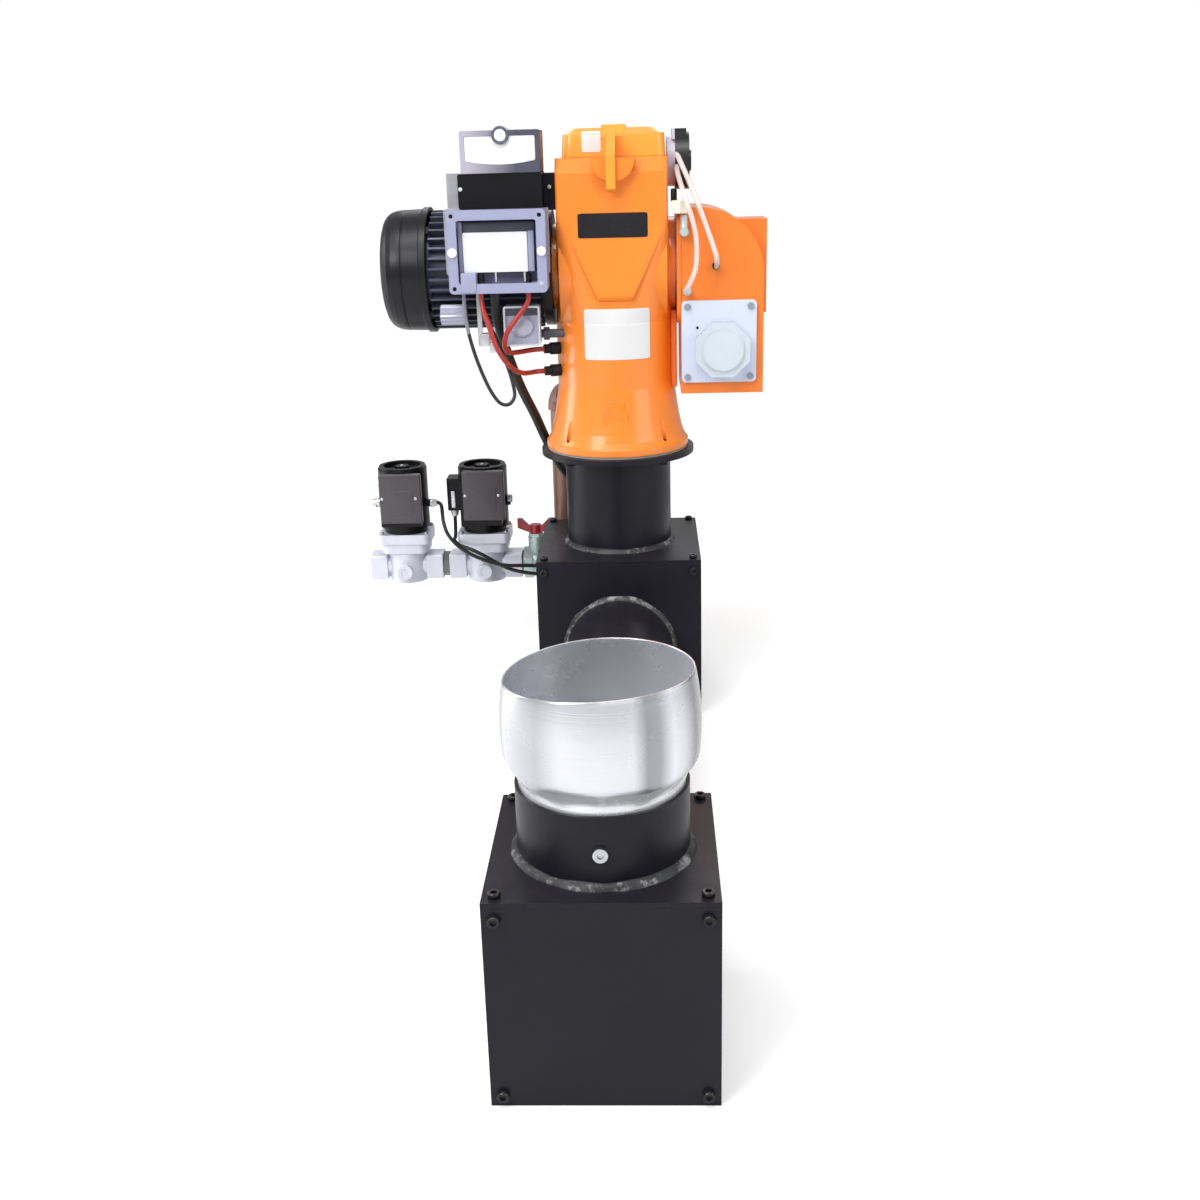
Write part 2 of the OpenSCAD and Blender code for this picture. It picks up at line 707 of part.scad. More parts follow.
module cooling_fan() {
  x = cowl_x1 - 38;
  color("#33363a") at_fan() difference() {
    union() {
      rod_x(x, x + 24, shaft_d / 2 + 6);
      rod_x(x + 20, x + 23, 60);
      for (k = [0 : 7]) rotate([45 * k, 0, 0]) block([x, shaft_d / 2 + 4, -1.5], [x + 22, 68, 1.5]);
    }
    rod_x(x - over, x + 24 + over, shaft_d / 2 + 0.02);
  }
}

module motor_fan_cowl() {
  lip = 10;
  c = 26;
  groove = c + 5;
  outer = concat([[0, 0], [cowl_r - c, 0]],
    curve([[cowl_r - c, 0], [cowl_r - 10, 1], [cowl_r - 2, 8], [cowl_r - 1, c]], 6),
    [[cowl_r - 0.8, groove], [cowl_r - 2, groove + 0.5], [cowl_r - 2, groove + 2.5],
    [cowl_r - 0.7, groove + 3], [cowl_r, cowl_len - lip], [cowl_r + 2.5, cowl_len - lip + 2],
    [cowl_r + 2.5, cowl_len], [0, cowl_len]]);
  color("#1b1c1f") at_fan() translate([cowl_x0, 0, 0]) rotate([0, 90, 0]) difference() {
    rotate_extrude() polygon(outer);
    rotate_extrude() polygon(concat([[0, 3], [cowl_r - c, 3]],
      curve([[cowl_r - c, 3], [cowl_r - 12, 4], [cowl_r - 5, 10], [cowl_r - 4, c]], 6),
      [[cowl_r - 2.5, cowl_len - lip], [cowl_r - 2.5, cowl_len + over], [0, cowl_len + over]]));
    for (k = [0 : 23]) rotate(15 * k) block([18, -1.6, -over], [56, 1.6, 5]);
  }
  color("#1b1c1f") at_fan() for (k = [0 : 3]) rotate([45 + 90 * k, 0, 0])
    block([cowl_x1 - 8, cowl_r - 6, -6], [cowl_x1 + 3.9, cowl_r - 2.2, 6]);
}

// Air intake, right of the casting
gasket_x0 = pad_x + 0.05;
intake_x0 = gasket_x0 + 2;
intake_body_x0 = intake_x0 + 5;
intake_x1 = intake_body_x0 + intake_w;
intake_z1 = fan_z + 80;
intake_z0 = intake_z1 - intake_h;
intake_y0 = fan_axis_y - intake_depth / 2;
intake_y1 = fan_axis_y + intake_depth / 2;
damper_x = (intake_body_x0 + intake_x1) / 2;
damper_z = intake_z0 + damper_h;
flap_half = intake_w / 2 - intake_wall - 2;

module intake_gasket() {
  color("#26272a") at_fan() difference() {
    rod_x(gasket_x0, intake_x0 - 0.05, eye_pad_r - 4);
    rod_x(gasket_x0 - over, intake_x0 + over, eye_r + 1);
  }
}

// Front view of the housing, grown inwards by t
module intake_profile(t) {
  r = intake_corner_r - t;
  difference() {
    translate([intake_body_x0 + t, intake_z0 - (t > 0 ? over : 0)])
      square([intake_w - 2 * t, intake_h - t + (t > 0 ? over : 0)]);
    translate([intake_x1 - t - r, intake_z1 - t - r]) difference() {
      square([r + over, r + over]);
      circle(r);
    }
  }
}

module intake_housing() {
  color("#f2731d") difference() {
    union() {
      translate([0, intake_y1, 0]) rotate([90, 0, 0]) linear_extrude(intake_depth) intake_profile(0);
      at_fan() plate_x(150, 150, 20, intake_x0, intake_body_x0 + 1);
      block([intake_body_x0 + 2, fan_axis_y + 6, fan_z - 70], [intake_x1 + 10, intake_y1, intake_z1 - 20]);
    }
    translate([0, intake_y1 - intake_wall, 0]) rotate([90, 0, 0])
      linear_extrude(intake_depth - 2 * intake_wall) intake_profile(intake_wall);
    block([intake_x1 - 20, fan_axis_y + 6 + intake_wall, fan_z - 70 + intake_wall],
      [intake_x1 + 10 - intake_wall, intake_y1 - intake_wall, intake_z1 - 20 - intake_wall]);
    at_fan() rod_x(intake_x0 - over, intake_body_x0 + intake_wall + over, eye_r);
    translate([damper_x, 0, damper_z]) {
      rod_y(intake_y0 - over, intake_y0 + intake_wall + over, damper_shaft_d / 2 + run_gap);
      rod_y(intake_y1 - intake_wall - over, intake_y1 + over, damper_shaft_d / 2 + run_gap);
    }
  }
}

module damper_flap() {
  color("#c3c6ca") translate([damper_x, 0, damper_z]) difference() {
    union() {
      block([-flap_half, intake_y0 + intake_wall + 1, -1], [flap_half, intake_y1 - intake_wall - 1, 1]);
      rod_y(intake_y0 + intake_wall + 1, intake_y1 - intake_wall - 1, damper_shaft_d / 2 + 2.5);
    }
    rod_y(intake_y0, intake_y1, damper_shaft_d / 2 + 0.02);
  }
}

servo_plate_t = 6;
servo_cover_d = 26;
module damper_shaft() {
  color("#d0d3d7") translate([damper_x, 0, damper_z])
    rod_y(intake_y0 - servo_plate_t - 16, intake_y1 + 3, damper_shaft_d / 2);
}

servo_plate_w = 103;
servo_plate_h = 112;
servo_low = 47;
servo_r = 37;
module at_servo() translate([damper_x, intake_y0 - seat_gap, damper_z]) children();
module servo_body() {
  plate_cx = (servo_plate_w - intake_w) / 2 + 1;
  color("#cfd6da") at_servo() difference() {
    union() {
      translate([plate_cx, 0, servo_plate_h / 2 - servo_low])
        plate_y(servo_plate_w, servo_plate_h, 6, -servo_plate_t, 0);
      rod_y(-servo_plate_t - 7, -1, 14);
    }
    rod_y(-servo_plate_t - 10, over, damper_shaft_d / 2 + run_gap);
  }
  color("#8f9498") at_servo() for (x = [-1, 1], z = [0, 1])
    translate([plate_cx + x * (servo_plate_w / 2 - 8), 0, z * (servo_plate_h - 16) - servo_low + 8])
      rod_y(-servo_plate_t - 2.5, -servo_plate_t, 4.5);
}

module servo_cover() {
  y0 = -servo_plate_t - servo_cover_d;
  color("#dfe7ea", 0.6) at_servo() difference() {
    union() {
      translate([0, -servo_plate_t - 0.1, 0]) rotate([90, 22.5, 0])
        cylinder(h = servo_cover_d - 4, r = servo_r / cos(22.5), $fn = 8);
      rod_y(y0, -servo_plate_t - 1, servo_r - 9);
    }
    rod_y(y0 + 2, -servo_plate_t + over, servo_r - 11);
    translate([0, -servo_plate_t + over, 0]) rotate([90, 22.5, 0])
      cylinder(h = servo_cover_d - 4, r = (servo_r - 2) / cos(22.5), $fn = 8);
  }
}

module damper_dial() {
  color("#f4f5f6") at_servo() difference() {
    union() {
      rod_y(-servo_plate_t - 14, -servo_plate_t - 11, 22);
      rod_y(-servo_plate_t - 18, -servo_plate_t - 8, damper_shaft_d / 2 + 4);
    }
    rod_y(-servo_plate_t - 20, -servo_plate_t - 6, damper_shaft_d / 2 + 0.02);
    translate([15, 0, 0]) rod_y(-servo_plate_t - 16, -servo_plate_t - 9, 2);
  }
}

// Controls on a folded panel in front of the motor
panel_y = fan_axis_y - motor_fin_r - 2 - panel_t;
panel_x0 = -227;
panel_x1 = -casting_x - 1.7;
shelf_z = fan_z + 83;
panel_z0 = fan_z;
control_x1 = -casting_x - 8.5;
control_x0 = control_x1 - control_w;
control_y0 = panel_y - 12;
control_y1 = control_y0 + control_depth;
control_z0 = shelf_z + panel_t + seat_gap;
control_z1 = control_z0 + control_base_h;
control_top = control_z1 + control_cover_h;
reset_x = (control_x0 + control_x1) / 2 + 4;
reset_z = control_top - 6;
reset_r = 7.6;
reset_ring_r = 11.6;

module mounting_panel() {
  color("#c6c9cd") difference() {
    union() {
      block([panel_x0, panel_y, panel_z0], [panel_x1, panel_y + panel_t, shelf_z + panel_t]);
      block([panel_x0, panel_y, shelf_z], [control_x1, control_y1 + panel_t + 1, shelf_z + panel_t]);
      block([panel_x0, control_y1 + 1, shelf_z], [control_x1, control_y1 + panel_t + 1, shelf_z + 48]);
    }
    for (x = [panel_x0 + 60, panel_x1 - 40]) translate([x, 0, fan_z + 14])
      rod_y(panel_y - 1, panel_y + panel_t + 1, 2.7);
  }
}

module control_bracket() {
  x1 = -upper_x - seat_gap;
  color("#141518") difference() {
    union() {
      block([control_x1 + seat_gap, -56, control_z0 - 4], [x1, -30, control_z1 - 1]);
      translate([0, -56, control_z0 + 24]) translate([(control_x1 + x1) / 2, 0, 0]) rod_y(-2, 1, 2.8);
    }
    block([control_x1, -50, control_z0 + 4], [x1 - 3, -29, control_z1 - 8]);
  }
}

module control_base() {
  color("#141518") difference() {
    translate([(control_x0 + control_x1) / 2, 0, (control_z0 + control_z1) / 2])
      plate_y(control_w, control_base_h, 3, control_y0, control_y1);
    block([control_x0 + 3, control_y0 + 3, control_z0 + 3],
      [control_x1 - 3, control_y1 - 3, control_z1 + over]);
  }
}

module control_cover() {
  color("#3a3c42") difference() {
    union() {
      translate([(control_x0 + control_x1) / 2, 0, control_z1 + 0.1 + control_cover_h / 2])
        plate_y(control_w, control_cover_h - 0.1, 2, control_y0 - 1, control_y1);
      translate([reset_x, 0, reset_z]) rod_y(control_y0 - 3.5, control_y1 - 20, reset_ring_r);
    }
    difference() {
      block([control_x0 + 7, control_y0 - 2, control_z1 + 4], [control_x1 - 6, control_y0, control_top - 8]);
      translate([reset_x, 0, reset_z]) rod_y(control_y0 - 4, control_y1, reset_ring_r);
    }
    difference() {
      block([control_x0 + 3, control_y0 + 3, control_z1 - 1],
        [control_x1 - 3, control_y1 - 3, control_top - 3]);
      translate([reset_x, 0, reset_z]) rod_y(control_y0, control_y1 - 20, reset_ring_r);
    }
    translate([reset_x, 0, reset_z]) rod_y(control_y0 - 6, control_y1 - 24, reset_r + run_gap);
  }
}

module reset_button() {
  color("#f2f3f5") translate([reset_x, 0, reset_z]) {
    rod_y(control_y0 - 6.5, control_y1 - 24 - reset_travel - 1, reset_r);
  }
}

// Transformer tray: moulded box, open to the front, with a broad rim
tray_x1 = -casting_x - 3.5;
tray_x0 = tray_x1 - tray_w;
tray_z1 = shelf_z + panel_t - 0.1;
tray_z0 = tray_z1 - tray_h;
tray_y1 = panel_y - seat_gap;
tray_y0 = tray_y1 - tray_depth;
tray_wall = 3.5;
tray_rim = 13;
tray_cx = (tray_x0 + tray_x1) / 2;
tray_cz = (tray_z0 + tray_z1) / 2;
ht_terminal_x = [tray_x0 + 40, tray_x1 - 28];

module transformer_tray() {
  color("#9aa0b4") difference() {
    union() {
      translate([tray_cx, 0, tray_cz]) plate_y(tray_w, tray_h, 6, tray_y0, tray_y1);
    }
    translate([tray_cx, 0, tray_cz])
      plate_y(tray_w - 2 * tray_rim, tray_h - 2 * tray_rim, 3, tray_y0 - over, tray_y1 - 3);
    for (s = [-1, 1]) {
      translate([tray_cx + s * 55, 0, tray_cz]) block([-7.5, tray_y0 + 3, -32], [7.5, tray_y1 - 3, 32]);
      translate([tray_cx, 0, tray_cz + s * 45]) block([-44, tray_y0 + 3, -7.5], [44, tray_y1 - 3, 7.5]);
    }
    for (x = ht_terminal_x) translate([x, (tray_y0 + tray_y1) / 2, tray_z0]) rod_z(-over, 20, 6);
  }
}

module ignition_transformer() {
  y = (tray_y0 + tray_y1) / 2;
  color("#e9eaec")
    block([tray_cx - 49, tray_y0 + 8, tray_cz - 28], [tray_cx + 47, tray_y1 - 3.1, tray_cz + 22]);
  color("#3a3c42") for (x = ht_terminal_x) translate([x, y, 0]) rod_z(tray_z0 + 2, tray_cz - 28, 5);
}

module tray_screws() {
  color("#f1f2f4") for (s = [-1, 1]) translate([tray_cx + s * (tray_w / 2 - 6.5), 0, tray_cz])
    rod_y(tray_y0 - 3, tray_y0 - 0.05, 5.5);
  color("#4a4c52") for (x = [-1, 1], z = [-1, 1])
    translate([tray_cx + x * (tray_w / 2 - 7), 0, tray_cz + z * (tray_h / 2 - 7)])
      rod_y(tray_y0 - 1.2, tray_y0 - 0.05, 2.6);
}

// Pressure switches
gas_switch_x = -casting_x - 43;
gas_switch_z = fan_z - 70;
module gas_pressure_switch() {
  color("#a8abb4") translate([gas_switch_x, 0, gas_switch_z]) {
    plate_y(50, 54, 4, -82, -58);
    rod_y(-86, -81, 14);
  }
  color("#d0d3d7") difference() {
    translate([gas_switch_x + 18, -40, gas_switch_z - 16]) {
      rod_y(-19, 3, 5.5);
      rod_x(0, 60, 6);
      hex_x(9, 17, 9);
    }
    rod_z(casting_z, square_z0 + 20, neck_r + seat_gap);
  }
}

air_switch_x0 = upper_x + seat_gap;
air_switch_z = casting_top - 7;
hose_x = air_switch_x0 + 13;
module air_pressure_switch() {
  color("#c9c5d6") translate([0, 25, air_switch_z]) rod_x(air_switch_x0, air_switch_x0 + 12, 34);
  color("#1b1c1f") translate([0, 25, air_switch_z]) {
    rod_x(air_switch_x0 + 11, air_switch_x0 + 31, 38);
    rod_x(air_switch_x0 + 11, air_switch_x0 + 34, 14);
    block([air_switch_x0 + 7, -26, 28], [air_switch_x0 + 27, 26, 42]);
  }
  color("#e8e8ea") translate([0, 25 - 34, air_switch_z]) for (z = [-8, 8])
    translate([hose_x, 0, z]) rod_y(-14, -3, 3);
}

// Fittings that the sensing hoses end on
nipple_x = intake_body_x0 + 48;
nipple_z = fan_z + 3;
elbow_x = intake_body_x0 + 5;
elbow_z = fan_z - 30;
nut_x = intake_body_x0 + 6;
nut_z = intake_z1 + seat_gap;
module hose_fittings() {
  color("#24252a") translate([nipple_x, 0, nipple_z]) {
    rod_y(intake_y0 - 10, intake_y0 - seat_gap, 5);
  }
  color("#c8cacc") translate([elbow_x + 4, intake_y0, elbow_z]) {
    rod_y(-8, -seat_gap, 6);
  }
  color("#c8cacc") translate([nut_x, intake_y0, nut_z]) {
    translate([0, 0, -25]) rod_y(-12.5, -seat_gap, 4.5);
    translate([0, -8, 0]) rod_z(-25, 1, 4);
  }
  color("#f3efe2") translate([nut_x, intake_y0 - 8, nut_z]) hex_z(0, 15, 10);
}

// Gas train
ball_len = 40;
ball_socket = 7;
ball_gap = 3;
pipe_r = pipe_d / 2;
elbow_end = 26;
ball_x1 = -pipe_x - elbow_end - 2;
ball_x0 = ball_x1 - ball_len;
valve_2_x = ball_x0 - ball_gap - valve_len / 2;
valve_1_x = valve_2_x - valve_len - valve_gap;
port_block = 20;
seat_r = 11;
chamber_r = 20;
bonnet_z = 58;
tube_r = 11;
plunger_r = 9;
coil_h = 108;
coil_stub_h = 47;

module valve_body(x) {
  color("#c3c5cb") at_train(x) difference() {
    union() {
      for (s = [-1, 1]) translate([s * (valve_len / 2 - 13.5), 0, 0])
        plate_x(42, 2 * port_block, 3, -13.5, 13.5);
      rod_x(-valve_len / 2 + 10, valve_len / 2 - 10, 17.8);
      rod_z(-24, 36, 31);
      translate([0, 0, 36]) plate_z(74, 64, 14, -10, 8);
      plate_z(84, 70, 10, 42, bonnet_z);
      translate([0, 0, -3]) rod_y(-40, 0, 11);
      rod_z(bonnet_z - 1, bonnet_z + coil_h - 7.2, tube_r);
    }
    rod_x(-valve_len / 2 - over, -valve_len / 2 + 22, port_r);
    rod_x(valve_len / 2 - 22, valve_len / 2 + over, port_r);
    rod_x(-valve_len / 2, -chamber_r - 3, 11);
    rod_x(chamber_r - 6, valve_len / 2, 11);
    rod_z(-17, -4, chamber_r);
    block([-chamber_r - 5, -8, -10], [-chamber_r + 4, 8, -4.5]);
    rod_z(-6, 4, seat_r);
    rod_z(1, bonnet_z - 8, chamber_r);
    rod_z(bonnet_z - 10, bonnet_z + coil_h - 24, plunger_r + run_gap);
  }
}
module valve_body_1() valve_body(valve_1_x);
module valve_body_2() valve_body(valve_2_x);

module valve_plunger(x) {
  color("#d7d9dc") at_train(x) {
    rod_z(1.3, 6, seat_r + 4);
    rod_z(5, bonnet_z - 5, 5);
    rod_z(bonnet_z - 6, bonnet_z + coil_h - 25 - valve_travel, plunger_r);
  }
}
module valve_plunger_1() valve_plunger(valve_1_x);
module valve_plunger_2() valve_plunger(valve_2_x);

module valve_coil(x) {
  z0 = bonnet_z + 0.1;
  z1 = z0 + coil_h;
  color("#1c1d20") at_train(x) difference() {
    union() {
      rod_z(z0, z0 + 10, 34);
      rod_z(z0 + 8, z1 - 4, 39);
      block([-32, -43, z0 + 16], [32, 0, z1 - 22]);
      rod_z(z1 - 5, z1, 37);
      for (s = [-1, 1]) translate([s * 36, -9, z0 + coil_stub_h]) rod_x(-8, 8, 6);
    }
    rod_z(z0 - over, z1 - 7, tube_r + 0.15);
    rod_z(z1 - 7, z1 + over, 30);
  }
  color("#55585e") at_train(x) difference() {
    hex_z(z1 - 6.9, z1 - 1, 12);
    rod_z(z1 - 8, z1, 4);
  }
}
module valve_coil_1() valve_coil(valve_1_x);
plug_w = 16;
plug_h = 52;
plug_z0 = bonnet_z + 36;
plug_lead_x = valve_2_x - 47;
plug_foot_z = train_z + plug_z0;
coil_stub_z = train_z + bonnet_z + coil_stub_h + 0.1;
module valve_coil_2() {
  valve_coil(valve_2_x);
  color("#1c1d20") at_train(0) difference() {
    block([valve_2_x - 40 - plug_w, -20, plug_z0], [valve_2_x - 30, 14, plug_z0 + plug_h]);
    block([valve_2_x - 38 - plug_w, -22, plug_z0 + plug_h - 26], [valve_2_x - 42, -18, plug_z0 + plug_h - 6]);
  }
}

// Ball valve with its butterfly handle, and the nipples that join the train
ball_r = 17;
stem_r = 5;
handle_z = 58;
module ball_valve_body() {
  xc = (ball_x0 + ball_x1) / 2;
  color("#bcd0c6") at_train(0) difference() {
    union() {
      hex_x(ball_x0, ball_x0 + 15, 27);
      hex_x(ball_x1 - 15, ball_x1, 27);
      rod_x(ball_x0 + 2, ball_x1 - 2, 23);
      translate([xc, 0, 0]) rod_z(0, handle_z - 14, 13);
      translate([xc, 0, 0]) hex_z(handle_z - 26, handle_z - 8, 12);
    }
    rod_x(ball_x0 - over, ball_x1 + over, 12);
    rod_x(ball_x0 - over, ball_x0 + ball_socket + 1, pipe_r - 1.5);
    rod_x(ball_x1 - ball_socket - 1, ball_x1 + over, pipe_r - 1.5);
    translate([xc, 0, 0]) sphere(r = ball_r + 0.3);
    translate([xc, 0, 0]) rod_z(0, handle_z, stem_r + run_gap);
  }
}

module ball_valve_handle() {
  xc = (ball_x0 + ball_x1) / 2;
  color("#c4161c") at_train(xc) {
    rod_z(handle_z - 7.5, handle_z + 6, 9);
    difference() {
      rotate([90, 0, 0]) translate([0, 0, -4.5]) linear_extrude(9)
        polygon([[-29, 20 + handle_z - 4], [-29, handle_z + 1], [-12, handle_z - 6], [12, handle_z - 6],
          [29, handle_z + 1], [29, handle_z + 16], [22, handle_z + 16], [10, handle_z + 4],
          [-10, handle_z + 4], [-22, handle_z + 16]]);
      rod_z(0, handle_z - 5, 5);
    }
  }
  color("#c9ccd0") at_train(xc) difference() {
    union() {
      sphere(r = ball_r);
      rod_z(10, handle_z - 2, stem_r);
    }
    rod_x(-30, 30, 12);
  }
}

// Quarter bends of pipe that end at the origin: one turns up from +X, one turns from up to -X
module bend_up(r, bend) {
  translate([-bend, 0, bend]) rotate([90, 0, 0]) rotate([0, 0, -90])
    rotate_extrude(angle = 90) translate([bend, 0]) circle(r);
}
module bend_in(r, bend) {
  translate([-bend, 0, -bend]) rotate([90, 0, 0]) rotate_extrude(angle = 90) translate([bend, 0]) circle(r);
}

module pipe_run(z0, z1) {
  difference() {
    rod_z(z0, z1, pipe_r);
    rod_z(z0 - over, z1 + over, pipe_bore_r);
  }
}

pipe_bore_r = pipe_r - 3.2;
pipe_fitting_r = pipe_r + 3.5;
module gas_pipe() {
  bend = elbow_end;
  color("#b98a76") {
    at_train(-pipe_x) difference() {
      bend_up(pipe_fitting_r, bend);
      bend_up(pipe_bore_r, bend);
    }
    translate([-pipe_x, train_y, 0]) pipe_run(train_z + bend + 0.05, inlet_z - bend - 0.05);
    at_train(0) rotate([0, 90, 0]) difference() {
      rod_z(ball_x1 - ball_socket, -pipe_x - bend - 0.05, pipe_r - 1.7);
      rod_z(ball_x1 - 13, -pipe_x, pipe_bore_r - 1.5);
    }
    translate([-pipe_x, train_y, inlet_z]) rotate(inlet_angle) difference() {
      bend_in(pipe_fitting_r, bend);
      bend_in(pipe_bore_r, bend);
    }
    translate([0, 0, inlet_z]) rotate(inlet_angle) rotate([0, 90, 0])
      pipe_run(neck_ri + 2, inlet_run - bend - 0.05);
  }
  color("#8f9498") at_train(0) for (x = [[valve_1_x + valve_len / 2, valve_2_x - valve_len / 2],
      [valve_2_x + valve_len / 2, ball_x0]]) difference() {
    union() {
      rod_x(x[0] - 20, x[1] + ball_socket, port_r - 0.1);
      hex_x(x[0] + 0.1, x[1] - 0.1, 21);
    }
    rod_x(x[0] - 22, x[1] + 12, port_r - 4);
  }
}

// Soft leads and hoses, each a short route of round-number points from one fitting to the next
lead_drop = 12;
boot_x = (boot_end + 0.1) * cos(lead_angle);
boot_y = (boot_end + 0.1) * sin(lead_angle);
boot_run_x = boot_x + lead_drop * cos(lead_angle);
boot_run_y = boot_y + lead_drop * sin(lead_angle);
lead_z = [casting_z + lead_heights[0], casting_z + lead_heights[1]];
tray_mid = (tray_y0 + tray_y1) / 2;
ht_top = tray_z0 + 1.9;
tray_low = tray_z0 - 0.2;
ht_route_1 = [[ht_terminal_x[1], tray_mid, ht_top], [ht_terminal_x[1], tray_mid, ht_top - lead_drop],
  [-122, -95, 587], [-134, -99, 572], [-146, -99, 555], [-150, -93, 538], [-145, -80, 527],
  [-133, -63, lead_z[0]], [-121, -49, lead_z[0]], [boot_run_x, boot_run_y, lead_z[0]],
  [boot_x, boot_y, lead_z[0]]];
ht_route_2 = [[ht_terminal_x[0], tray_mid, ht_top], [ht_terminal_x[0], tray_mid, ht_top - lead_drop],
  [-176, -97, 585], [-169, -102, 565], [-162, -103, 542], [-152, -98, 521], [-141, -84, 505],
  [-130, -64, 496], [-120, -49, lead_z[1]], [boot_run_x, boot_run_y, lead_z[1]],
  [boot_x, boot_y, lead_z[1]]];
loop_route = [[-202, -96, tray_low], [-202, -96, tray_low - 10], [-201, -98, 578], [-197, -98, 552],
  [-190, -97, 524], [-181, -95, 497], [-171, -93, 474], [-160, -92, 459], [-148, -91, 457],
  [-140, -88, 468], [-143, -83, 488], [-150, -77, 510], [-159, -75, 534], [-168, -76, 558],
  [-177, -79, 582], [-180, -80, tray_low - 10], [-180, -80, tray_low]];
harness_route = [[-161, -80, tray_low], [-161, -80, tray_low - 9], [-162, -73, 584], [-158, -52, 547],
  [-149, -30, 506], [-137, -2, 462], [-122, 30, 418], [-109, 60, 375], [-92, 93, 330],
  [-70, 117, 292], [-51, 129, 268], [-46, 132, 256], [-46, 132, 246]];
valve_route_1 = [[-50, 132, 245.8], [-50, 132, 235], [-51, 131, 212], [-58, 127, 182], [-80, 125, 161],
  [-115, 124, 156], [-150, 116, 160], [-190, 104, 165], [-226, 100, 178], [-256, 100, 196],
  [-274, 103, 216], [-282, 112, 235], [-285, 125, 249], [-288, 138, 256], [-293.5, 148, 258],
  [valve_1_x + 50.5, train_y - 9, coil_stub_z], [valve_1_x + 44.2, train_y - 9, coil_stub_z]];
valve_route_2 = [[-42, 132, 245.8], [-42, 132, 235], [-43, 131, 207], [-50, 127, 172], [-76, 125, 149],
  [-115, 124, 144], [-150, 117, 147], [-185, 112, 158], [-218, 110, 178], [-240, 112, 189],
  [-258, 119, 194], [plug_lead_x, 133, 199], [plug_lead_x, 147, 205],
  [plug_lead_x, train_y - 8, plug_foot_z - 11], [plug_lead_x, train_y - 8, plug_foot_z - 0.2]];
hose_y = 25 - 34 - 14.2;
hose_route_1 = [[hose_x, hose_y, air_switch_z + 8], [hose_x, hose_y - 11, air_switch_z + 8],
  [91, -51, 776], [99, -66, 758], [111, -77, 730], [123, -85, 698], [133, -92, 670],
  [138, -96, 655], [139.5, -95.8, 648], [nipple_x, -92.5, 641.5], [nipple_x, -86.5, 637.5],
  [nipple_x, -79, nipple_z], [nipple_x, intake_y0 - 10.2, nipple_z]];
hose_route_2 = [[hose_x, hose_y, air_switch_z - 8], [hose_x, hose_y - 9, air_switch_z - 8],
  [89, -50, 758], [93, -70, 743], [100, -86, 721], [107, -91, 700], [112, -92, 677], [113, -93, 653],
  [111, -95.5, 634], [105.5, -96, 620], [elbow_x + 4, -92.5, 610.5], [elbow_x + 4, -86, 604.8],
  [elbow_x + 4, -78, elbow_z],
  [elbow_x + 4, intake_y0 - 8.2, elbow_z]];

module control_leads() {
  color("#b3261e") {
    tube(ht_route_1, 7);
    tube(ht_route_2, 7);
  }
  color("#1b1c1f") {
    tube(loop_route, 5);
    tube(harness_route, 14, 12);
    tube(valve_route_1, 6);
    tube(valve_route_2, 6);
  }
}

module sensing_hoses() {
  color("#d9dde2", 0.6) {
    tube(hose_route_1, 7);
    tube(hose_route_2, 7);
  }
}

rear_box_shell();
rear_box_top_plate();
rear_box_front_plate();
front_box_shell();
front_box_top_plate();
front_box_cover();
box_screws();
cross_duct();
riser_duct();
inlet_duct();
weld_beads();
flame_cup();
cup_set_screw();
flange_plate();
flange_gasket();
flange_bolts();
burner_casting();
top_cover();
cover_strap();
gas_head();
diffuser_disc();
electrodes();
lead_boots();
motor_end_shield();
motor_housing();
stator_core();
motor_bearings();
motor_rotor();
impeller();
cooling_fan();
motor_fan_cowl();
intake_gasket();
intake_housing();
damper_flap();
damper_shaft();
servo_body();
servo_cover();
damper_dial();
mounting_panel();
control_bracket();
control_base();
control_cover();
reset_button();
transformer_tray();
ignition_transformer();
tray_screws();
gas_pressure_switch();
air_pressure_switch();
hose_fittings();
valve_body_1();
valve_body_2();
valve_coil_1();
valve_coil_2();
valve_plunger_1();
valve_plunger_2();
ball_valve_body();
ball_valve_handle();
gas_pipe();
control_leads();
sensing_hoses();
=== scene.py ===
# %% [markdown]
# # A gas boiler burner on a duct frame
# The burner stands on two black steel boxes joined by a long round duct. The orange cast body with its
# motor, air intake and controls stands on the rear box, and a spun steel cup lets the flame out over the
# front box. The solid parts are already exact, so this lesson gives them their finishes, and models in
# mesh code what a solid modeller leaves plain: weld ripple, screw sockets, spun steel, leads and hoses.

import math
import random

import bpy
from mathutils import Matrix, Vector


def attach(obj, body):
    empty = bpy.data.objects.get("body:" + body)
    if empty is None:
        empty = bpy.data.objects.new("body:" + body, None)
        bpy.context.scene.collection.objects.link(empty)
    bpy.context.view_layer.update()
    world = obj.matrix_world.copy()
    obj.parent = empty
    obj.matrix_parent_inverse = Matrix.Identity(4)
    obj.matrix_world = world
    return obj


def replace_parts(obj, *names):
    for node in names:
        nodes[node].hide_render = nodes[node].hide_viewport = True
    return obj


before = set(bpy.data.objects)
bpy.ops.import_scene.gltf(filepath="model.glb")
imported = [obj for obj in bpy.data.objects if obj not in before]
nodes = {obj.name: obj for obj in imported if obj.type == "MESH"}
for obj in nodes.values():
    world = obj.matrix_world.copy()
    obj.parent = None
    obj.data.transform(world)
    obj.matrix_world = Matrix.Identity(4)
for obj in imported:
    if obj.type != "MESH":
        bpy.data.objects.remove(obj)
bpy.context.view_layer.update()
scene = bpy.context.scene
MM = 0.001

# %% [markdown]
# The camera stands where the photographer stood: about two metres in front of the burner, a little right
# of its axis and looking down by 18 degrees. The numbers come from the corners of the two boxes.

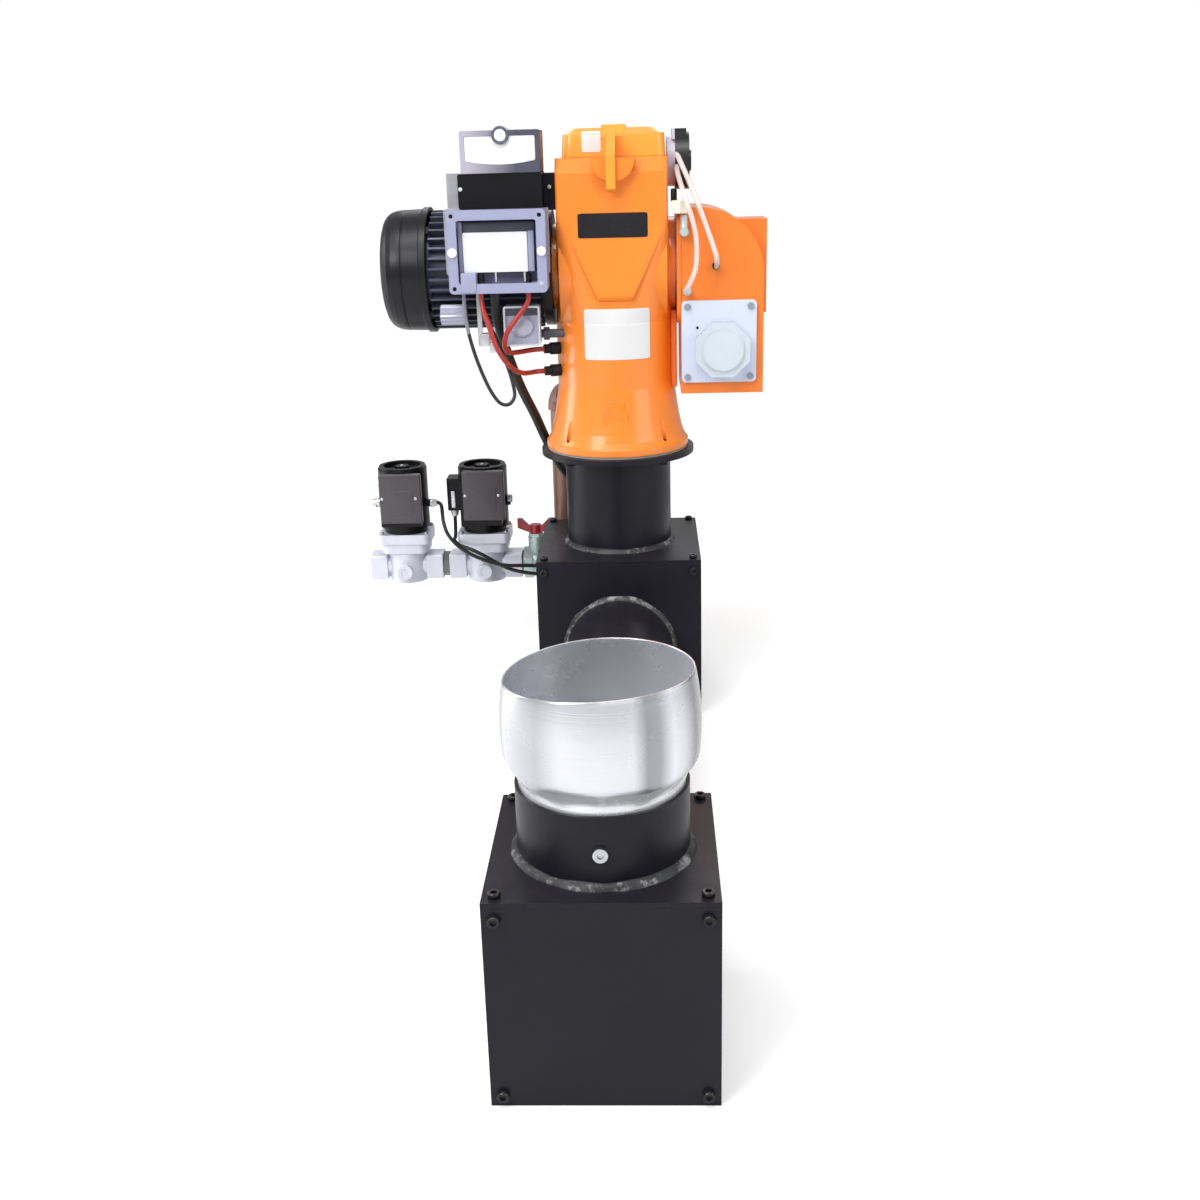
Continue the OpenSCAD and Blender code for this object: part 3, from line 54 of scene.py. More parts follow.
# %% Camera
def camera_axes(yaw, pitch, roll):
    forward = Vector((math.sin(yaw) * math.cos(pitch), math.cos(yaw) * math.cos(pitch), -math.sin(pitch)))
    right = Vector((math.cos(yaw), -math.sin(yaw), 0))
    down = forward.cross(right)
    turned_right = right * math.cos(roll) + down * math.sin(roll)
    turned_down = down * math.cos(roll) - right * math.sin(roll)
    return turned_right, -turned_down, -forward


YAW, PITCH, ROLL = -0.039, 0.3198, 0.0262
STAND = (0.04413, -1.95369, 0.78568)
view_axes = camera_axes(YAW, PITCH, ROLL)
camera = bpy.data.objects.new("camera", bpy.data.cameras.new("camera"))
camera.data.sensor_width = 36
camera.data.lens = 40.489
camera.data.clip_end = 50
camera.matrix_world = Matrix.Translation(STAND) @ Matrix(view_axes).transposed().to_4x4()
scene.collection.objects.link(camera)
scene.camera = camera
scene.view_settings.view_transform = "Standard"
print("camera looks down by", round(math.degrees(PITCH), 1), "degrees")

# %% [markdown]
# Every material is a small tree of shader nodes. One function makes a node, sets its properties and fills
# its inputs with values or links, and a few short ones cover the nodes that come back all the time.

# %% Node helpers
def add_node(tree, kind, sockets=None, **settings):
    """A shader node; sockets gives each named input a value, or an output to link it to."""
    made = tree.nodes.new("ShaderNode" + kind)
    for key, value in settings.items():
        setattr(made, key, value)
    for label, value in (sockets or {}).items():
        if isinstance(value, bpy.types.NodeSocket):
            tree.links.new(value, made.inputs[label])
        else:
            made.inputs[label].default_value = value
    return made


def fresh_tree(owner):
    """The emptied node tree of a material or world."""
    owner.use_nodes = True
    owner.node_tree.nodes.clear()
    return owner.node_tree


def math_node(tree, operation, a, b, clamp=False):
    return add_node(tree, "Math", {0: a, 1: b}, operation=operation, use_clamp=clamp).outputs[0]


def ranged(tree, value, **ends):
    """A value carried from one range to another; From_Min and the like name the ends."""
    sockets = {label.replace("_", " "): end for label, end in ends.items()}
    return add_node(tree, "MapRange", {"Value": value, **sockets}).outputs[0]


def mixed(tree, factor, a, b, blend="MIX"):
    """The colour a mixed with the colour b."""
    return add_node(tree, "Mix", {"Factor": factor, "A": a, "B": b}, data_type="RGBA",
                    blend_type=blend).outputs["Result"]


def place_of(tree):
    return add_node(tree, "TexCoord").outputs["Object"]


def axes_of(tree, vector):
    return add_node(tree, "SeparateXYZ", {0: vector}).outputs


print("node helpers ready")

# %% [markdown]
# The burner was photographed on white. The world is white to the camera and through clear plastic, the
# floor keeps the shadow near the boxes and melts into white farther out, and the lamps stay at a plain
# level, so the black paint is not washed out.

# %% Floor and world
WHITE = (1, 1, 1, 1)
FLOOR_GLOW, WORLD_LEVEL = 0.28, 0.4
MELT_FROM, MELT_TO = 1.1, 2.6
floor_paint = bpy.data.materials.new("studio_floor")
tree = fresh_tree(floor_paint)
to_camera = add_node(tree, "LightPath").outputs["Is Camera Ray"]
paint = add_node(tree, "BsdfDiffuse", {"Color": (0.86, 0.86, 0.86, 1)})
glow = add_node(tree, "Emission", {"Color": WHITE, "Strength": math_node(tree, "MULTIPLY", to_camera, FLOOR_GLOW)})
both = add_node(tree, "AddShader", {0: paint.outputs[0], 1: glow.outputs[0]})
away = add_node(tree, "VectorMath", {0: place_of(tree)}, operation="LENGTH").outputs["Value"]
fade = math_node(tree, "MULTIPLY", ranged(tree, away, From_Min=MELT_FROM, From_Max=MELT_TO), to_camera)
white = add_node(tree, "Emission", {"Color": WHITE})
melt = add_node(tree, "MixShader", {0: fade, 1: both.outputs[0], 2: white.outputs[0]})
add_node(tree, "OutputMaterial", {"Surface": melt.outputs[0]})

floor_mesh = bpy.data.meshes.new("studio_floor")
floor_mesh.from_pydata([(-9, -7, 0), (9, -7, 0), (9, 14, 0), (-9, 14, 0)], [], [(0, 1, 2, 3)])
floor = bpy.data.objects.new("studio_floor", floor_mesh)
floor.location.z = -0.0002
floor_mesh.materials.append(floor_paint)
scene.collection.objects.link(floor)

world = bpy.data.worlds.new("studio_white")
scene.world = world
tree = fresh_tree(world)
ray = add_node(tree, "LightPath").outputs
seen = math_node(tree, "MAXIMUM", ray["Is Camera Ray"], ray["Is Transmission Ray"])
sky = add_node(tree, "Background", {"Color": WHITE, "Strength": ranged(tree, seen, To_Min=WORLD_LEVEL, To_Max=1.0)})
add_node(tree, "OutputWorld", {"Surface": sky.outputs[0]})
print("floor and world ready")

# %% [markdown]
# Soft lamps do the work. The key hangs high in front on the left and draws the pale streak down the
# left side of the orange casting. A broad fill on the right keeps the intake readable, a long lamp behind
# rims the black boxes, and a softbox overhead lights the sloping shoulder and the lip of the front facet.

# %% Lamps
def lamp(name, place, aim, size, power):
    data = bpy.data.lights.new(name, "AREA")
    data.shape = "RECTANGLE"
    data.size, data.size_y = size
    data.energy = power
    piece = bpy.data.objects.new(name, data)
    piece.location = place
    piece.rotation_mode = "QUATERNION"
    piece.rotation_quaternion = (Vector(aim) - Vector(place)).to_track_quat("-Z", "Y")
    scene.collection.objects.link(piece)


lamp("key_lamp", (-1.7, -2.6, 2.3), (0, -0.3, 0.45), (1.5, 1.5), 62)
lamp("fill_lamp", (2.3, -1.9, 1.4), (0, -0.2, 0.45), (1.6, 2.0), 26)
lamp("side_lamp", (-2.2, 0.2, 0.9), (-0.1, 0, 0.5), (0.7, 2.0), 22)
lamp("back_lamp", (0.4, 2.4, 2.2), (0, 0, 0.5), (2.4, 1.0), 26)
lamp("top_lamp", (-0.3, -1.1, 2.8), (0, -0.1, 0.6), (1.8, 0.8), 40)

# %% [markdown]
# Almost every surface here is a coating or a casting, and what makes those look real is very small: a
# faint unevenness in the colour, a fine grain that breaks up the highlight, and dust that settles on what
# faces up. Each effect is built once as a shader group, and every material then sets its own values.

# %% Shader groups
def new_group(name, inputs, outputs):
    group = bpy.data.node_groups.new(name, "ShaderNodeTree")
    for label, kind, value in inputs:
        group.interface.new_socket(name=label, in_out="INPUT", socket_type=kind).default_value = value
    for label, kind in outputs:
        group.interface.new_socket(name=label, in_out="OUTPUT", socket_type=kind)
    return group, group.nodes.new("NodeGroupInput").outputs, group.nodes.new("NodeGroupOutput").inputs


def noise_node(tree, scale, detail=3.0, rough=0.5):
    return add_node(tree, "TexNoise", {"Vector": place_of(tree), "Scale": scale, "Detail": detail,
                                       "Roughness": rough}).outputs["Fac"]


FLOAT, COLOUR = "NodeSocketFloat", "NodeSocketColor"

# Colour that drifts slightly between the pure tone and a darker one
mottle_group, given, found = new_group(
    "mottle", [("Color", COLOUR, WHITE), ("Scale", FLOAT, 12.0), ("Amount", FLOAT, 0.15)], [("Color", COLOUR)])
shade = ranged(mottle_group, noise_node(mottle_group, given["Scale"], 4.0, 0.6), From_Min=0.3, From_Max=0.7)
mottle_group.links.new(mixed(mottle_group, math_node(mottle_group, "MULTIPLY", shade, given["Amount"]),
                             given["Color"], (0.25, 0.25, 0.27, 1), "MULTIPLY"), found["Color"])

# Grain for bump: orange peel, cast skin or moulded texture, by its scale
grain_group, given, found = new_group("grain", [("Scale", FLOAT, 400.0)], [("Height", FLOAT)])
coarse = noise_node(grain_group, math_node(grain_group, "MULTIPLY", given["Scale"], 0.17), 2.0)
grain_group.links.new(math_node(grain_group, "ADD", noise_node(grain_group, given["Scale"]),
                                math_node(grain_group, "MULTIPLY", coarse, 0.8)), found["Height"])

# Roughness that varies in soft patches, as handled paint does
patches_group, given, found = new_group(
    "patches", [("Scale", FLOAT, 18.0), ("Low", FLOAT, 0.3), ("High", FLOAT, 0.45)], [("Value", FLOAT)])
patches_group.links.new(ranged(patches_group, noise_node(patches_group, given["Scale"], 5.0, 0.62), From_Min=0.32,
                               From_Max=0.68, To_Min=given["Low"], To_Max=given["High"]), found["Value"])

# Dust that lies on faces that look up, thinner where the noise is low
dust_group, given, found = new_group("dust", [("Color", COLOUR, WHITE), ("Amount", FLOAT, 0.2)], [("Color", COLOUR)])
normal = add_node(dust_group, "NewGeometry").outputs["Normal"]
up = math_node(dust_group, "MAXIMUM", axes_of(dust_group, normal)["Z"], 0.0)
clumps = math_node(dust_group, "MULTIPLY", noise_node(dust_group, 55.0, 5.0, 0.65), 1.7)
fall = math_node(dust_group, "MULTIPLY", math_node(dust_group, "MULTIPLY", up, given["Amount"]), clumps, clamp=True)
dust_group.links.new(mixed(dust_group, fall, given["Color"], (0.42, 0.40, 0.38, 1)), found["Color"])

# Small scuffs and chips, as a mask
scuffs_group, given, found = new_group("scuffs", [("Scale", FLOAT, 60.0), ("Level", FLOAT, 0.72)], [("Mask", FLOAT)])
marks = math_node(scuffs_group, "SUBTRACT", noise_node(scuffs_group, given["Scale"], 8.0, 0.75), given["Level"])
scuffs_group.links.new(math_node(scuffs_group, "MULTIPLY", marks, 9.0, clamp=True), found["Mask"])
print("groups:", [g.name for g in bpy.data.node_groups])

# %% [markdown]
# One function turns those groups into a material: a Principled shader with a drifting colour, patchy
# roughness and a grain bump. Edges are softened by a Bevel node, because real sheet and castings have no
# razor edges, and a rounded edge catches the light.

# %% The material maker
def group_node(tree, group, **values):
    return add_node(tree, "Group", values, node_tree=group).outputs[0]


def coloured(tree, colour, drift, mottle, dust=0.0):
    """The colour socket: the plain colour, drifting, with dust on top."""
    tone = group_node(tree, mottle_group, Color=(*colour, 1), Scale=drift, Amount=mottle)
    return group_node(tree, dust_group, Color=tone, Amount=dust) if dust else tone


def bumped(tree, height, depth, **more):
    """The normal socket of a bump, its depth in millimetres."""
    return add_node(tree, "Bump", {"Height": height, "Distance": depth * MM, **more}).outputs["Normal"]


def surfaced(material, sockets):
    """Gives a material its Principled shader."""
    shader = add_node(material.node_tree, "BsdfPrincipled", sockets)
    add_node(material.node_tree, "OutputMaterial", {"Surface": shader.outputs[0]})
    return material


def finish(name, colour, rough, metal=0.0, coat=0.0, grain=(400, 0.02), mottle=0.12, drift=12.0, dust=0.0,
           edge=0.6, shine=0.5):
    """Rough is a range, grain a scale with a depth in millimetres, and edge a radius in millimetres."""
    material = bpy.data.materials.new(name)
    tree = fresh_tree(material)
    bevel = {}
    if edge:
        bevel = {"Normal": add_node(tree, "Bevel", {"Radius": edge * MM}, samples=4).outputs["Normal"]}
    skin = group_node(tree, grain_group, Scale=grain[0])
    return surfaced(material, {
        "Base Color": coloured(tree, colour, drift, mottle, dust), "Metallic": metal,
        "Roughness": group_node(tree, patches_group, Low=rough[0], High=rough[1]),
        "Coat Weight": coat, "Coat Roughness": 0.12, "Specular IOR Level": shine,
        "Normal": bumped(tree, skin, grain[1], Strength=0.8, **bevel)})


def shader_of(material):
    return next(n for n in material.node_tree.nodes if n.type == "BSDF_PRINCIPLED")


def recolour(material, factor, second, blend="MIX"):
    """Mixes a second colour into the base colour."""
    tree, base = material.node_tree, shader_of(material).inputs["Base Color"]
    tree.links.new(mixed(tree, factor, base.links[0].from_socket, second, blend), base)


def two_tone(material, second, axis, edge, above=True):
    """A second colour on one side of a plane across X, Y or Z, at edge in millimetres."""
    tree = material.node_tree
    side = math_node(tree, "GREATER_THAN" if above else "LESS_THAN", axes_of(tree, place_of(tree))[axis], edge * MM)
    recolour(material, side, (*second, 1))


def wear(node_name, material):
    """Gives a solid its finish."""
    piece = nodes[node_name]
    piece.data.materials.clear()
    piece.data.materials.append(material)


print("material maker ready")

# %% [markdown]
# The two boxes, the ducts and the flange plate are sprayed with black paint that has a blue cast and a
# soft shine. It shows a little dust on top and a broad, blurred highlight, so its roughness sits in the
# middle and its grain is a low orange peel.

# %% Black paint
black_paint = finish("black_paint", (0.009, 0.008, 0.014), (0.3, 0.46), grain=(260, 0.05), mottle=0.25, dust=0.02,
                     edge=1.0, shine=0.24)
chips = group_node(black_paint.node_tree, scuffs_group, Scale=70.0, Level=0.69)
recolour(black_paint, chips, (0.05, 0.05, 0.06, 1))
for name in ("rear_box_shell", "rear_box_top_plate", "rear_box_front_plate", "front_box_shell",
             "front_box_top_plate", "front_box_cover", "cross_duct", "riser_duct", "inlet_duct",
             "flange_plate", "control_bracket"):
    wear(name, black_paint)
print("black paint on the boxes and ducts")

# %% [markdown]
# The cast body, its cover and the air intake have a hard orange gloss paint. Its shine comes from a clear
# coat over a slightly uneven base, which keeps the colour saturated while the highlight stays white. The
# cover's copy of the orange is lighter and yellower: painted light, where the top of the burner catches the lamps.

# %% Orange paint
orange_paint = finish("orange_paint", (0.90, 0.235, 0.018), (0.30, 0.42), coat=0.45, grain=(220, 0.06), mottle=0.08,
                      drift=7.0, edge=1.6)
# painted light: the cover and its strap get a lighter, yellower copy of the orange paint, standing in for light on
# the top
lit_cover_paint = finish("lit_cover_paint", (0.92, 0.33, 0.03), (0.30, 0.42), coat=0.45, grain=(220, 0.06), mottle=0.06,
                     drift=9.0, edge=2.0)
intake_paint = finish("intake_paint", (0.86, 0.20, 0.02), (0.30, 0.44), coat=0.35, grain=(240, 0.05), mottle=0.08,
                      drift=8.0, edge=1.6)
castings = {"burner_casting": orange_paint, "top_cover": lit_cover_paint, "cover_strap": lit_cover_paint,
            "intake_housing": intake_paint}
for name, material in castings.items():
    wear(name, material)
print("orange paint on", len(castings), "castings")

# %% [markdown]
# Bare metals come next. Cast aluminium is pale with a fine skin, zinc sheet is smoother with faint
# patches, plain steel is darker, and the nickel of the ball valve has a green cast.

# %% Metals
cast_aluminium = finish("cast_aluminium", (0.72, 0.73, 0.82), (0.4, 0.55), metal=0.25, grain=(900, 0.06),
                        mottle=0.14, drift=30, dust=0.1, edge=1.0)
motor_alloy = finish("motor_alloy", (0.075, 0.08, 0.12), (0.36, 0.5), metal=0.3, grain=(700, 0.05), mottle=0.2,
                     drift=25)
zinc_sheet = finish("zinc_sheet", (0.50, 0.51, 0.56), (0.3, 0.48), metal=0.85, grain=(500, 0.015), mottle=0.18,
                    drift=45, edge=0.4)
plain_steel = finish("plain_steel", (0.56, 0.57, 0.6), (0.24, 0.4), metal=1.0, grain=(800, 0.01), edge=0.4)
nickel = finish("nickel", (0.54, 0.66, 0.66), (0.22, 0.36), metal=0.5, grain=(600, 0.02))
copper_primer = finish("copper_primer", (0.30, 0.17, 0.13), (0.3, 0.46), metal=0.35, grain=(300, 0.05), mottle=0.3,
                       drift=22, edge=0.8)
dull_brass = finish("dull_brass", (0.46, 0.33, 0.15), (0.3, 0.5), metal=0.9, grain=(500, 0.02))
stator_iron = finish("stator_iron", (0.20, 0.20, 0.21), (0.4, 0.6), metal=0.8, grain=(900, 0.03))
metal_parts = {
    "valve_body_1": cast_aluminium, "valve_body_2": cast_aluminium, "motor_housing": motor_alloy,
    "mounting_panel": zinc_sheet, "damper_flap": zinc_sheet, "impeller": zinc_sheet, "diffuser_disc": plain_steel,
    "motor_bearings": plain_steel, "motor_rotor": plain_steel, "damper_shaft": plain_steel,
    "valve_plunger_1": plain_steel, "valve_plunger_2": plain_steel, "cup_set_screw": plain_steel,
    "stator_core": stator_iron, "gas_head": dull_brass, "ball_valve_body": nickel, "gas_pipe": copper_primer}
for name, material in metal_parts.items():
    wear(name, material)
print("metal parts:", len(metal_parts))

# %% [markdown]
# Plastics, rubber and small parts. The motor cowl is a rough black casting, the coils have dark brown-grey
# faces inside black yokes, and the tray round the transformer is a lilac grey moulding.

# %% Plastics and small parts
cowl_black = finish("cowl_black", (0.007, 0.007, 0.010), (0.3, 0.44), grain=(600, 0.05), mottle=0.3, dust=0.02,
                    edge=1.0, shine=0.3)
moulded_black = finish("moulded_black", (0.005, 0.005, 0.006), (0.32, 0.45), grain=(1200, 0.02), mottle=0.2,
                       edge=0.8, shine=0.22)
coil_black = finish("coil_black", (0.004, 0.004, 0.005), (0.3, 0.44), grain=(900, 0.03), mottle=0.2, edge=0.8,
                    shine=0.25)
tray_plastic = finish("tray_plastic", (0.33, 0.345, 0.50), (0.3, 0.42), grain=(900, 0.015), edge=0.8)
cover_grey = finish("cover_grey", (0.10, 0.10, 0.135), (0.22, 0.36), coat=0.3, grain=(900, 0.01), edge=0.8)
switch_plastic = finish("switch_plastic", (0.38, 0.38, 0.50), (0.34, 0.48), grain=(900, 0.02), mottle=0.15,
                        edge=0.8)
servo_plastic = finish("servo_plastic", (0.62, 0.68, 0.83), (0.3, 0.44), grain=(800, 0.015), mottle=0.08, edge=0.8)
white_plastic = finish("white_plastic", (0.80, 0.81, 0.83), (0.25, 0.38), grain=(900, 0.01), mottle=0.06, edge=0.5)
ceramic = finish("ceramic", (0.78, 0.75, 0.68), (0.15, 0.3), coat=0.4, grain=(500, 0.01), mottle=0.08)
rubber_black = finish("rubber_black", (0.010, 0.010, 0.012), (0.5, 0.65), grain=(900, 0.03), mottle=0.2, edge=0.5,
                      shine=0.3)
rope_board = finish("rope_board", (0.42, 0.40, 0.36), (0.75, 0.9), grain=(500, 0.2), mottle=0.3)
handle_red = finish("handle_red", (0.42, 0.016, 0.03), (0.25, 0.4), coat=0.3, edge=0.8)
air_switch_skin = finish("air_switch_skin", (0.55, 0.53, 0.64), (0.3, 0.42), grain=(900, 0.015))
coil_plate = finish("coil_plate", (0.082, 0.072, 0.082), (0.34, 0.46), metal=0.2, grain=(700, 0.02), dust=0.04,
                    edge=0)
bright_metal = finish("bright_metal", (0.74, 0.75, 0.78), (0.22, 0.36), metal=0.55, grain=(800, 0.01), mottle=0.1,
                      edge=0.3)
lilac_metal = finish("lilac_metal", (0.46, 0.46, 0.58), (0.28, 0.42), metal=0.3, grain=(800, 0.02), mottle=0.15,
                     edge=0.4)
slate_plastic = finish("slate_plastic", (0.055, 0.058, 0.085), (0.3, 0.45), grain=(900, 0.02), mottle=0.2, edge=0)
gasket_cream = finish("gasket_cream", (0.72, 0.64, 0.50), (0.6, 0.8), grain=(500, 0.08), mottle=0.2)
small_parts = {
    "motor_fan_cowl": cowl_black, "motor_end_shield": cowl_black, "cooling_fan": moulded_black,
    "control_base": moulded_black, "flange_bolts": moulded_black, "valve_coil_1": coil_black,
    "valve_coil_2": coil_black, "transformer_tray": tray_plastic, "gas_pressure_switch": switch_plastic,
    "servo_body": servo_plastic, "reset_button": white_plastic, "damper_dial": white_plastic,
    "electrodes": ceramic, "lead_boots": rubber_black, "intake_gasket": gasket_cream,
    "flange_gasket": rope_board, "ball_valve_handle": handle_red, "air_pressure_switch": air_switch_skin}
for name, material in small_parts.items():
    wear(name, material)

# Pieces of two colours, parted by a plane
two_tone(air_switch_skin, (0.012, 0.012, 0.016), "X", 86.8)
two_tone(handle_red, (0.55, 0.57, 0.6), "Z", 202, above=False)
two_tone(copper_primer, (0.16, 0.16, 0.18), "X", -133, above=False)
two_tone(servo_plastic, (0.26, 0.29, 0.33), "Y", -66.3, above=False)
two_tone(switch_plastic, (0.09, 0.09, 0.11), "Y", -57.5)
print("finishes so far:", len(bpy.data.materials))

# %% [markdown]
# The dome over the damper dial is a clear plastic cap that has gone milky. It is thin, so it is built as
# a see-through shell, mostly transparent with a soft white film. The air hoses are made the same way.

# %% Clear plastics
def clear_plastic(name, colour, alpha, rough):
    material = bpy.data.materials.new(name)
    tree = fresh_tree(material)
    skin = group_node(tree, grain_group, Scale=300.0)
    return surfaced(material, {"Base Color": coloured(tree, colour, 30.0, 0.06), "Roughness": rough, "Alpha": alpha,
                               "Normal": bumped(tree, skin, 0.02)})


milky_cap = clear_plastic("milky_cap", (0.74, 0.82, 0.88), 0.62, 0.14)
clear_hose = clear_plastic("clear_hose", (0.84, 0.78, 0.75), 0.55, 0.12)
wear("servo_cover", milky_cap)
print("clear plastics ready")

# %% [markdown]
# New pieces are made from rings of points. A ring is a list of points, two neighbouring rings are joined
# by quads, and a last ring can be closed with a cap. Turned, swept and moulded forms all come out of it.

# %% Mesh helpers
def mesh_piece(name, verts, faces, material, body, smooth=True):
    mesh = bpy.data.meshes.new(name)
    mesh.from_pydata([Vector(v) * MM for v in verts], [], faces)
    mesh.materials.append(material)
    if smooth:
        mesh.shade_smooth()
        mesh.set_sharp_from_angle(angle=math.radians(38))
    piece = bpy.data.objects.new(name, mesh)
    scene.collection.objects.link(piece)
    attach(piece, body)
    return piece


def skin_rings(rings, cap_start=False, cap_end=False, loop=False):
    """Vertices and faces of rings with the same number of points, joined one after the other."""
    count = len(rings[0])
    verts = [p for ring in rings for p in ring]
    faces = []
    last = len(rings) - 1
    for a, b in [(i, i + 1) for i in range(last)] + ([(last, 0)] if loop else []):
        for k in range(count):
            n = (k + 1) % count
            faces.append((a * count + k, a * count + n, b * count + n, b * count + k))
    if cap_start:
        faces.append(tuple(reversed(range(count))))
    if cap_end:
        faces.append(tuple(last * count + k for k in range(count)))
    return verts, faces


def merged(parts):
    """Several (verts, faces) as one."""
    verts, faces = [], []
    for v, f in parts:
        base = len(verts)
        verts += v
        faces += [tuple(i + base for i in face) for face in f]
    return verts, faces


def aimed(points, centre, axis):
    """Points made about +Z, turned so that +Z looks along axis, and moved to centre."""
    turn = Vector((0, 0, 1)).rotation_difference(Vector(axis))
    return [turn @ Vector(p) + Vector(centre) for p in points]


def ring_of(radius, height, count):
    """A ring about Z; radius is a number or a function of the angle."""
    points = []
    for k in range(count):
        a = 2 * math.pi * k / count
        r = radius(a) if callable(radius) else radius
        points.append((r * math.cos(a), r * math.sin(a), height))
    return points


def turned(profile, centre, axis, count=36, bored=False):
    """A lathe form from (radius, height) pairs; bored ones close on themselves."""
    rings = [ring_of(r, h, count) for r, h in profile]
    verts, faces = skin_rings(rings, cap_start=not bored, cap_end=not bored, loop=bored)
    return aimed(verts, centre, axis), faces


def add(name, parts, material):
    """A piece of the burner from one (verts, faces) or a list of them."""
    verts, faces = merged(parts if isinstance(parts, list) else [parts])
    return mesh_piece(name, verts, faces, material, "burner")


def bezier(p, t):
    return [(1 - t) ** 3 * p[0][i] + 3 * (1 - t) ** 2 * t * p[1][i] + 3 * (1 - t) * t * t * p[2][i]
            + t ** 3 * p[3][i] for i in (0, 1)]


UP, FRONT = (0, 0, 1), (0, -1, 0)
print("mesh helpers ready")

# %% [markdown]
# The box screws are socket-head cap screws: a knurled rim, a small chamfer and a hexagon socket. Each is
# one skin of rings, and the socket is a ring pushed onto the sides of a hexagon.

# %% Socket screws
def hexagon(apothem):
    return lambda a: apothem / math.cos(math.radians((math.degrees(a) + 30) % 60 - 30))


def knurled(radius, depth, teeth):
    return lambda a: radius - depth * (0.5 + 0.5 * math.cos(teeth * a))


def socket_screw(centre, axis, radius=5.5, height=5.0, apothem=2.5, shank=0.0, shank_radius=3.0):
    rim, socket = knurled(radius, 0.22, 24), hexagon(apothem)
    profile = [(shank_radius, -shank), (shank_radius, 0)] if shank else []
    profile += [(radius - 0.4, 0), (rim, 0.4), (rim, height - 0.9), (radius - 0.25, height - 0.6),
                (radius - 0.8, height), (apothem * 1.25, height), (socket, height - 0.3), (socket, height - 2.8),
                (0.3, height - 3.2)]
    return turned(profile, centre, axis, 72)


REAR_W, FRONT_W, FRONT_Y = 235, 200, -879.5
SCREW_INSET, TOP_PLATE = 11, 5


def box_screws(width, y):
    """Centres and axes of the screws of one box: four on top, four in front."""
    half = width / 2 - SCREW_INSET
    heights = (SCREW_INSET, width - TOP_PLATE - SCREW_INSET)
    return ([((x, y + dy, width), UP) for x in (-half, half) for dy in (-half, half)]
            + [((x, y - width / 2, z), FRONT) for x in (-half, half) for z in heights])


screw_black = finish("black_bolt", (0.02, 0.02, 0.023), (0.25, 0.4), metal=0.6, grain=(900, 0.02), mottle=0.3,
                     dust=0.1, edge=0)
screw_parts = [socket_screw(c, a, shank=9.5) for c, a in box_screws(REAR_W, 0) + box_screws(FRONT_W, FRONT_Y)]
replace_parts(add("socket_screws", screw_parts, screw_black), "box_screws")
print("socket screws:", len(screw_parts))

# %% [markdown]
# Moulded and pressed pieces are rounded rectangles that step forward and turn in at the front edge. The
# loop is counted the same way round as a ring, so the same skin closes both.

# %% Moulded forms
def round_loop(x, z, r, y, sag=0.0, per=3, along=6):
    """A rounded rectangle across X and Z at a depth y; its lower edge can sag in the middle."""
    left, right, low, high = x[0] + r, x[1] - r, z[0] + r, z[1] - r
    arcs = []
    for cx, cz, start in ((right, high, 0), (left, high, 90), (left, low, 180), (right, low, 270)):
        turns = [math.radians(start + 90 * k / per) for k in range(per + 1)]
        arcs.append([(cx + r * math.cos(a), cz + r * math.sin(a)) for a in turns])
    flat = []
    for c, arc in enumerate(arcs):
        (ax, az), (bx, bz) = arc[-1], arcs[(c + 1) % 4][0]
        flat += arc + [(ax + (bx - ax) * k / along, az + (bz - az) * k / along) for k in range(1, along)]
    middle, half, height = (x[0] + x[1]) / 2, (x[1] - x[0]) / 2, (z[0] + z[1]) / 2
    return [(px, y, pz - sag * (1 - ((px - middle) / half) ** 2) * (pz < height)) for px, pz in flat]


def shrunk(pair, by):
    return (pair[0] + by, pair[1] - by)


def moulding(x, z, y_back, y_front, r=2.0, edge=1.0, sag=0.0):
    """A closed block that faces the front, with a rounded front edge."""
    rings = [round_loop(x, z, r, y_back, sag)]
    for t in (0, 30, 60, 90):
        inset = edge * (1 - math.cos(math.radians(t)))
        rings.append(round_loop(shrunk(x, inset), shrunk(z, inset), max(r - inset, 0.3),
                                y_front + edge * (1 - math.sin(math.radians(t))), sag))
    return skin_rings(rings, cap_start=True, cap_end=True)


print("moulded forms ready")

# %% [markdown]
# The clear-fronted cover of the control box is a pressed frame with a pane in it. The lower edge of the pane
# sags, and a round bezel for the reset button stands over the top edge. The frame carries painted shade: its
# colour fades from a pale lilac on the left to a dark right side, where the light falls off.

# %% Control cover
frame_x, frame_z, pane_x, pane_z = (-198.5, -92.5), (763.3, 817.5), (-192.2, -98.6), (779.0, 810.5)
COVER_BACK, COVER_FACE, SAG = -26, -86.5, 5.0
shell_x, shell_z = shrunk(frame_x, 3), shrunk(frame_z, 3)
cover_rings = [round_loop(frame_x, frame_z, 2.5, COVER_BACK), round_loop(frame_x, frame_z, 2.5, -85.5),
               round_loop(shrunk(frame_x, 0.7), shrunk(frame_z, 0.7), 2.0, COVER_FACE),
               round_loop(pane_x, pane_z, 2.0, COVER_FACE, SAG), round_loop(pane_x, pane_z, 2.0, -84.6, SAG),
               round_loop(shell_x, shell_z, 1.0, -84.0), round_loop(shell_x, shell_z, 1.0, COVER_BACK)]
painted_shade_grey = finish("painted_shade_grey", (0.42, 0.40, 0.48), (0.24, 0.38), grain=(900, 0.01), mottle=0.1, edge=0)
tree = painted_shade_grey.node_tree
